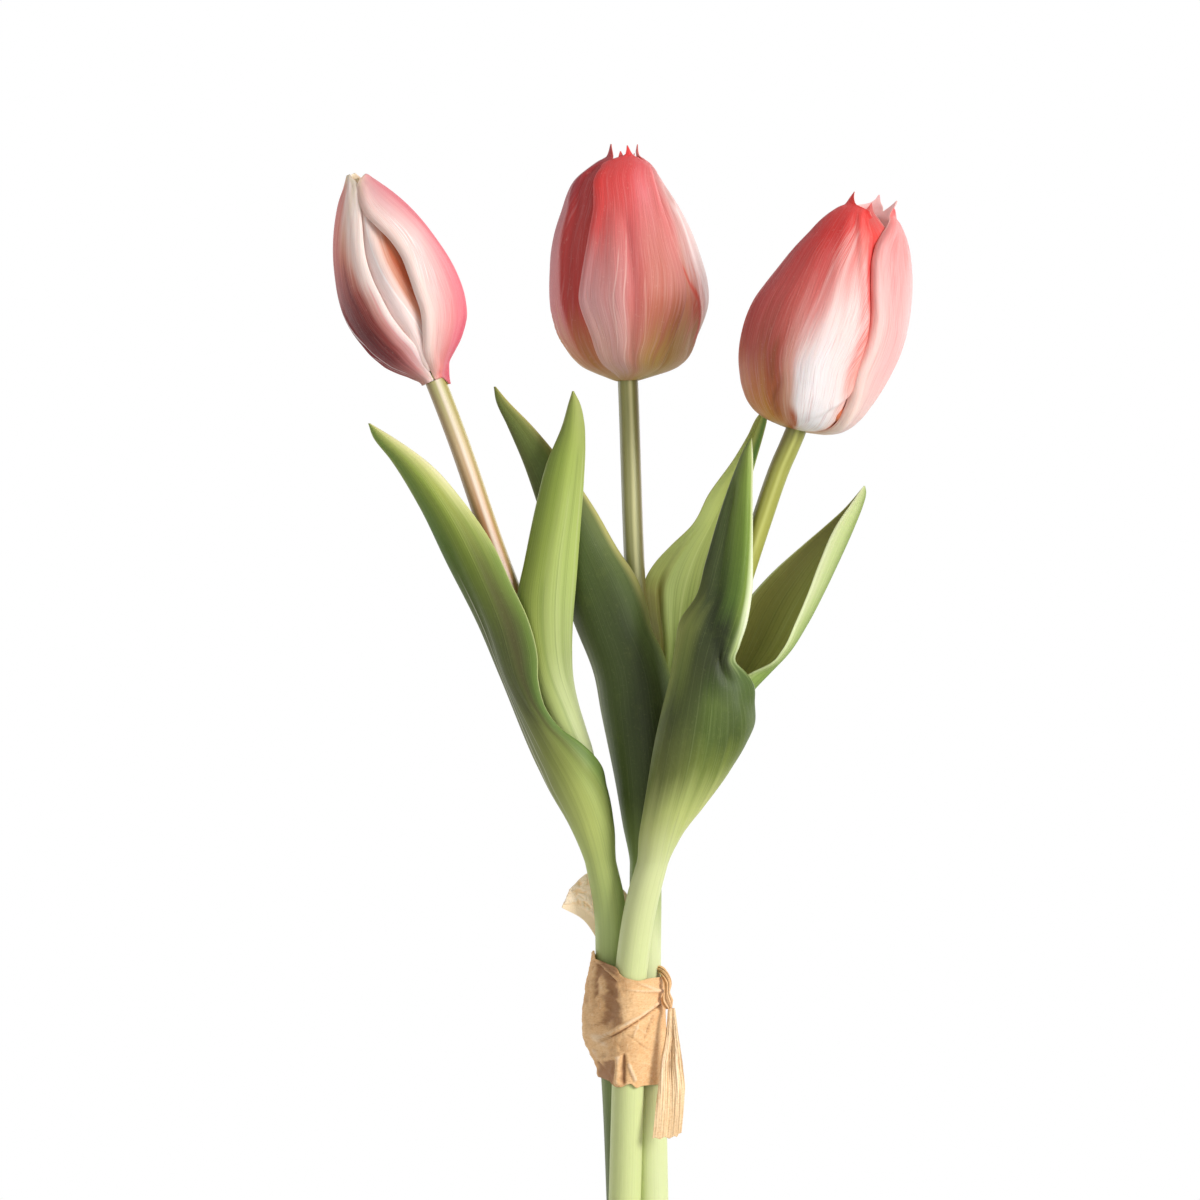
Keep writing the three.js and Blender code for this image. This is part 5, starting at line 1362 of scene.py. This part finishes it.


# Colours of each leaf, as places across it and, at each, its colours from the cut end to the tip. Some hold
# painted shade and highlight, as noted at each.
LEAF_LOOKS = {
    # The dark band across the blade above its middle and the near white of its right margin towards the tip are
    # partly painted shade and partly painted highlight
    ("left", "outer"): dict(
        low=0, high=267,
        columns=[
            [.04, (0, 78, 82, 58), (.3, 96, 102, 68), (.5, 156, 166, 110), (.6, 140, 146, 104), (.68, 118, 122, 88),
             (.8, 96, 104, 66), (.9, 84, 108, 46), (1, 150, 160, 84)],
            [.22, (0, 78, 82, 58), (.3, 98, 108, 70), (.5, 174, 184, 120), (.58, 168, 178, 108),
             (.64, 126, 130, 78), (.72, 90, 94, 62), (.8, 84, 92, 50), (.88, 86, 108, 38), (1, 120, 142, 62)],
            [.5, (0, 84, 92, 60), (.3, 110, 124, 74), (.5, 172, 188, 118), (.6, 186, 196, 110), (.66, 138, 146, 74),
             (.72, 88, 92, 52), (.78, 86, 94, 48), (.86, 108, 124, 46), (.95, 140, 156, 66), (1, 160, 166, 90)],
            [.7, (0, 86, 94, 62), (.3, 114, 130, 76), (.5, 168, 188, 114), (.6, 184, 198, 114), (.67, 134, 146, 72),
             (.73, 80, 88, 42), (.79, 80, 82, 44), (.86, 106, 114, 52), (.93, 166, 174, 84), (1, 212, 210, 144)],
            [.83, (0, 86, 94, 62), (.5, 144, 164, 96), (.6, 170, 190, 104), (.66, 110, 132, 66), (.74, 82, 98, 44),
             (.8, 88, 98, 46), (.86, 116, 130, 58), (.9, 150, 162, 80), (.94, 208, 208, 136), (1, 222, 216, 156)],
            [.93, (0, 86, 94, 62), (.5, 144, 164, 96), (.62, 118, 140, 70), (.7, 96, 122, 54), (.8, 104, 124, 54),
             (.87, 128, 146, 68), (.91, 190, 194, 118), (.95, 230, 226, 172), (1, 222, 218, 170)]],
        inside=[[.5, (0, 150, 165, 105), (.6, 112, 132, 62), (1, 150, 165, 90)]], margin=(206, 210, 140),
        # The pale lines on its left side are painted reflections, and the dark line is painted shade along the edge
        # of the folded flap
        lines=[
            ([(.6, .24), (.7, .22), (.86, .18)], .014, (222, 222, 196), .6),
            ([(.58, .32), (.68, .29), (.8, .25)], .01, (205, 208, 176), .5),
            ([(.64, .38), (.74, .35), (.84, .32)], .008, (200, 202, 170), .4),
            ([(.6, .05), (.7, .05), (.86, .05)], .012, (214, 218, 184), .5),
            ([(.66, .74), (.74, .73), (.88, .68)], .14, (80, 74, 42), .5)]),
    ("left", "inner"): dict(
        low=160, high=276,
        columns=[
            [.12, (0, 186, 194, 136), (.2, 172, 182, 112), (.4, 126, 138, 62), (.6, 122, 136, 56),
             (.85, 118, 136, 58), (1, 138, 146, 80)],
            [.34, (0, 212, 218, 178), (.2, 186, 198, 130), (.4, 158, 170, 86), (.6, 150, 166, 74),
             (.85, 140, 158, 68), (1, 144, 154, 78)],
            [.5, (0, 222, 226, 190), (.2, 194, 202, 146), (.4, 168, 180, 108), (.6, 166, 180, 98),
             (.85, 158, 174, 82), (1, 156, 164, 86)],
            [.8, (0, 220, 226, 190), (.2, 196, 204, 154), (.4, 168, 180, 116), (.6, 170, 186, 102),
             (.85, 158, 172, 88), (1, 164, 172, 98)]],
        inside=[[.5, (0, 186, 196, 130), (.5, 132, 150, 72), (1, 156, 170, 92)]], margin=(196, 204, 134),
        lines=[
            ([(.1, .6), (.4, .62), (.8, .6)], .05, (200, 208, 144), .16),
            ([(.3, .7), (.6, .71), (.9, .7)], .05, (116, 130, 58), .35),
            ([(.2, .86), (.5, .87), (.9, .86)], .03, (206, 214, 156), .35),
            ([(.05, .4), (.3, .42), (.6, .4)], .05, (112, 132, 58), .35)]),
    # The dark olive of its upper blade is partly painted shadow
    ("centre", "outer"): dict(
        low=0, high=277,
        columns=[
            [.04, (0, 214, 222, 160), (.3, 214, 222, 164), (.46, 210, 216, 166), (.54, 140, 156, 90),
             (.6, 84, 98, 50), (.7, 86, 94, 50), (.85, 78, 86, 44), (1, 96, 102, 54)],
            [.3, (0, 216, 226, 160), (.3, 216, 224, 166), (.46, 210, 216, 166), (.53, 130, 148, 80),
             (.6, 72, 86, 38), (.68, 62, 74, 32), (.78, 64, 76, 34), (.88, 76, 92, 40), (1, 104, 112, 54)],
            [.6, (0, 208, 215, 160), (.3, 202, 209, 154), (.46, 204, 210, 160), (.53, 128, 144, 78),
             (.59, 64, 76, 34), (.67, 52, 60, 30), (.77, 56, 66, 32), (.86, 74, 88, 38), (.93, 92, 106, 46),
             (1, 112, 116, 54)],
            [.84, (0, 208, 215, 160), (.3, 202, 209, 154), (.46, 204, 210, 160), (.53, 130, 146, 80),
             (.6, 72, 84, 38), (.68, 68, 80, 36), (.74, 84, 100, 48), (.82, 82, 98, 42), (.9, 104, 114, 54),
             (1, 150, 148, 80)],
            [.955, (0, 206, 216, 150), (.46, 210, 219, 160), (.54, 146, 160, 86), (.62, 92, 104, 50),
             (.7, 88, 106, 50), (.76, 112, 122, 64), (.82, 172, 168, 100), (.92, 186, 180, 112),
             (1, 176, 162, 94)]],
        inside=[[.5, (0, 176, 188, 124), (.6, 104, 118, 56), (1, 128, 138, 72)]], margin=(176, 170, 104),
        # The two lines near its left margin are painted reflections
        lines=[
            ([(.55, .1), (.66, .1), (.78, .12)], .03, (132, 140, 96), .35),
            ([(.6, .04), (.7, .04), (.8, .04)], .014, (160, 168, 130), .45)],
        veined=.35),
    ("centre", "inner"): dict(
        low=160, high=272,
        columns=[
            [.1, (0, 180, 190, 124), (.3, 150, 162, 86), (1, 172, 172, 92)],
            [.6, (0, 186, 196, 128), (.3, 160, 174, 92), (1, 184, 184, 104)]],
        # Its inside is dark olive near the left margin, where the margin turns back, partly as painted shade
        inside=[
            [.2, (0, 186, 196, 128), (.25, 84, 84, 36), (.42, 104, 98, 42), (.48, 104, 100, 42),
             (.55, 126, 120, 52), (.61, 166, 172, 98), (.72, 172, 182, 110), (1, 180, 188, 110)],
            [.27, (0, 190, 200, 132), (.25, 112, 130, 56), (.42, 150, 162, 88), (.6, 172, 184, 112),
             (1, 190, 196, 112)],
            [.6, (0, 190, 200, 132), (.25, 118, 140, 60), (.4, 142, 162, 80), (.6, 188, 200, 116),
             (.85, 194, 204, 118), (1, 186, 196, 110)],
            [.9, (0, 190, 200, 132), (.5, 150, 170, 86), (.8, 104, 146, 70), (1, 120, 150, 76)]],
        margin=(180, 184, 108),
        lines=[
            ([(.3, .42), (.6, .46), (.9, .5)], .02, (204, 212, 140), .5),
            ([(.3, .6), (.6, .62), (.9, .64)], .014, (202, 210, 140), .45)]),
    # The near-black band along its fold is painted shade, and the pale band along its right margin, which faces the
    # key lamp, is painted highlight
    ("right", "outer"): dict(
        low=0, high=263,
        columns=[
            [.03, (0, 186, 196, 130), (.56, 194, 200, 144), (.61, 164, 170, 104), (.66, 106, 114, 56),
             (.72, 90, 100, 46), (.764, 126, 134, 66), (.81, 140, 144, 80), (.846, 84, 90, 46), (.88, 54, 62, 32),
             (.95, 72, 84, 42), (1, 108, 122, 58)],
            [.16, (0, 190, 200, 130), (.56, 200, 206, 148), (.61, 176, 182, 112), (.66, 102, 108, 54),
             (.72, 68, 76, 36), (.764, 102, 114, 54), (.81, 120, 128, 66), (.84, 54, 62, 32), (.91, 72, 84, 42),
             (1, 102, 116, 54)],
            [.3, (0, 192, 202, 132), (.56, 202, 208, 150), (.62, 174, 182, 108), (.66, 104, 112, 54),
             (.72, 72, 82, 38), (.764, 64, 72, 34), (.8, 46, 54, 24), (.83, 44, 52, 24), (.865, 70, 88, 36),
             (.92, 104, 124, 54), (1, 114, 132, 60)],
            [.46, (0, 192, 202, 132), (.56, 204, 210, 154), (.62, 184, 192, 114), (.67, 104, 116, 50),
             (.7, 74, 90, 34), (.732, 84, 100, 44), (.752, 56, 70, 28), (.775, 40, 46, 22), (.81, 40, 48, 22),
             (.84, 82, 106, 40), (.9, 106, 130, 50), (.96, 124, 146, 62), (1, 134, 150, 72)],
            [.66, (0, 194, 204, 136), (.56, 206, 210, 156), (.63, 188, 194, 116), (.67, 112, 124, 54),
             (.7, 66, 80, 30), (.732, 68, 84, 32), (.752, 62, 78, 30), (.775, 40, 46, 22), (.8, 62, 78, 30),
             (.83, 104, 124, 48), (.9, 126, 150, 66), (.96, 136, 158, 72), (1, 160, 170, 98)],
            [.86, (0, 194, 204, 136), (.56, 206, 210, 156), (.63, 188, 194, 118), (.68, 84, 98, 40),
             (.73, 68, 84, 33), (.76, 72, 92, 36), (.79, 164, 180, 116), (.83, 204, 214, 164), (.9, 184, 198, 134),
             (1, 214, 216, 170)]],
        inside=[[.5, (0, 180, 192, 128), (.6, 100, 116, 54), (1, 124, 138, 70)]], margin=(204, 210, 150), veined=.6,
        # The pale lines along its right margin are painted highlight
        lines=[
            ([(.765, .95), (.85, .93), (.98, .9)], .12, (232, 236, 206), .8),
            ([(.55, .95), (.62, .95), (.7, .955)], .016, (226, 226, 186), .6)]),
    ("right", "inner"): dict(
        low=160, high=251,
        columns=[
            [.03, (0, 200, 208, 150), (.3, 170, 190, 110), (.6, 214, 222, 172), (1, 222, 226, 180)],
            [.12, (0, 190, 200, 134), (.3, 132, 160, 70), (.5, 170, 184, 116), (.7, 200, 206, 154),
             (.9, 204, 212, 152), (1, 200, 206, 150)],
            [.26, (0, 190, 200, 134), (.3, 112, 142, 56), (.5, 144, 164, 86), (.7, 180, 192, 130),
             (.9, 190, 202, 136), (1, 180, 190, 130)],
            [.6, (0, 190, 200, 134), (.3, 112, 138, 58), (1, 112, 128, 58)]],
        veined=1.3,
        # Its inside, seen within the folded blade, is darker olive partly as painted shade
        inside=[
            [.3, (0, 176, 186, 118), (.2, 96, 98, 42), (.4, 122, 124, 54), (1, 110, 110, 56)],
            [.6, (0, 176, 186, 118), (.3, 150, 152, 68), (.6, 150, 154, 74), (1, 140, 142, 76)],
            [.9, (0, 176, 186, 118), (.3, 148, 146, 70), (1, 122, 118, 60)],
            [.975, (0, 176, 186, 118), (.3, 150, 150, 78), (1, 134, 130, 68)],
            [.99, (0, 190, 198, 134), (.3, 190, 198, 130), (1, 190, 196, 136)]],
        margin=(206, 214, 158)),
}
# Heights and colours of the bare part of each stem, the tints of its left and right edges, and of its painted
# highlight. The dark low ends of the left and centre stems, where they come out between the leaves, and the darker
# edge tints are painted shade.
STEM_LOOKS = {
    "left": (200, 285,
             [(0, 106, 62, 40), (.2, 152, 98, 62), (.45, 188, 134, 92), (.7, 208, 178, 136), (.92, 178, 172, 114),
              (1, 178, 162, 106)],
             [(128, 96, 56), (156, 146, 76)], (255, 240, 224)),
    "centre": (190, 285, [(0, 88, 96, 44), (.3, 144, 144, 84), (.6, 162, 160, 104), (1, 138, 140, 74)],
               [(80, 80, 32), (124, 106, 54)], (250, 246, 184)),
    "right": (190, 270, [(0, 124, 128, 52), (.4, 166, 166, 72), (.8, 150, 150, 64), (1, 104, 104, 44)],
              [(108, 100, 42), (146, 148, 68)], (192, 194, 108)),
}


# The object

tube = tube_nodes()
paper = paper_material("kraft paper")
tail_paper = paper_material("kraft paper, front tail", .16)
# The back tail is made paler and given emission of its own: painted light where it faces away from the lamps
back_tail_painted_light_paper = paper_material("kraft paper, back tail", .5, .12)
steel = steel_material()
core = receptacle_material()
for side in TULIPS:
    stuff = stem_material(side + " stem", side, *STEM_LOOKS[side])
    settle(stem(side + ".stem", side, tube, stuff), side + "_flower_stem", "flower_stem", stuff)
    for ring, build in (("outer", outer_leaf), ("inner", inner_leaf)):
        name = f"{side} {ring} leaf"
        settle(build(name.replace(" ", "."), side), f"{side}_{ring}_leaf", ring + "_leaf",
               leaf_material(name, **LEAF_LOOKS[side, ring]))
    for ring, slot in (("outer", side + "_petals"), ("inner", side + "_inner_petals")):
        for key in [key for key in PETALS if key[:2] == (side, ring)]:
            place = key[2]
            name = f"{side} {ring} petal {place}"
            stuff = petal_material(name, PETAL_LOOKS[key], lines=PETAL_LINES.get(key, ()),
                                   ripples=PETAL_RIPPLES.get(key, ()), **HEAD_LOOKS[side])
            settle(petal(name.replace(" ", "."), *key), f"{side}_{ring}_petal_{place}", slot, stuff)
    for part, stuff in (("stem_wire", steel), ("receptacle", core)):
        finish_with(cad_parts[f"{side}_{part}"], stuff)
for build, part, stuff in ((tie_band, "band", paper), (tie_knot, "knot", paper),
                           (front_tail, "front_tail", tail_paper), (back_tail, "back_tail", back_tail_painted_light_paper)):
    settle(build(), "tie_" + part, "kraft_paper", stuff)


# Studio

# The middle of the bundle, which the lamps face
MIDDLE = (0, 0, .22)


def floor():
    half, drop = .42, -.0002
    mesh = bpy.data.meshes.new("floor")
    mesh.from_pydata([(-half, -half, drop), (half, -half, drop), (half, half, drop), (-half, half, drop)], [],
                     [(0, 1, 2, 3)])
    shade = Shade("white floor")
    grain = shade.noise(shade.place()[0], 30, 2, .5)
    shade.surface(shade.ramp(grain, [(.3, (.84, .84, .84, 1)), (.7, (.88, .88, .88, 1))]), .8)
    mesh.materials.append(shade.material)
    linked("floor", mesh)


def lamp(name, place, size, power):
    """A square lamp that faces the bundle's middle."""
    light = bpy.data.lights.new(name, "AREA")
    light.size = size
    light.energy = power
    piece = linked(name, light)
    piece.location = place
    piece.rotation_euler = (Vector(MIDDLE) - Vector(place)).to_track_quat("-Z", "Y").to_euler()


def surroundings(strength):
    """White where the camera, a reflection or a transmission sees it, and greyer as a light."""
    world = bpy.data.worlds.new("studio")
    world.use_nodes = True
    bpy.context.scene.world = world
    shade = Shade("", world.node_tree)
    rays = shade.node("ShaderNodeLightPath").socket.node.outputs
    seen = Value(shade, rays["Is Camera Ray"])
    for name in ("Is Glossy Ray", "Is Transmission Ray"):
        seen = shade.math("MAXIMUM", seen, Value(shade, rays[name]))
    white = shade.node("ShaderNodeBackground", sockets={0: (1, 1, 1, 1), 1: 1.0})
    grey = shade.node("ShaderNodeBackground", sockets={0: (1, 1, 1, 1), 1: strength})
    shown = shade.node("ShaderNodeMixShader", sockets={0: seen, 1: grey, 2: white})
    shade.node("ShaderNodeOutputWorld", sockets={0: shown})


floor()
surroundings(.36)
lamp("key", (1.15, -.9, .62), size=.6, power=22.5)
lamp("fill", (-.7, -1.3, .5), size=.9, power=3)
lamp("right rim", (.7, .9, .5), size=.6, power=3.5)
lamp("left rim", (-.9, .6, .3), size=.6, power=3)

camera = bpy.data.cameras.new("camera")
camera.lens = 200
camera.sensor_width = 36
eye = linked("camera", camera)
eye.location = (-.0051, -1.78, .2203)
eye.rotation_euler = (math.pi / 2, 0, 0)
bpy.context.scene.camera = eye
bpy.context.scene.view_settings.view_transform = "Standard"
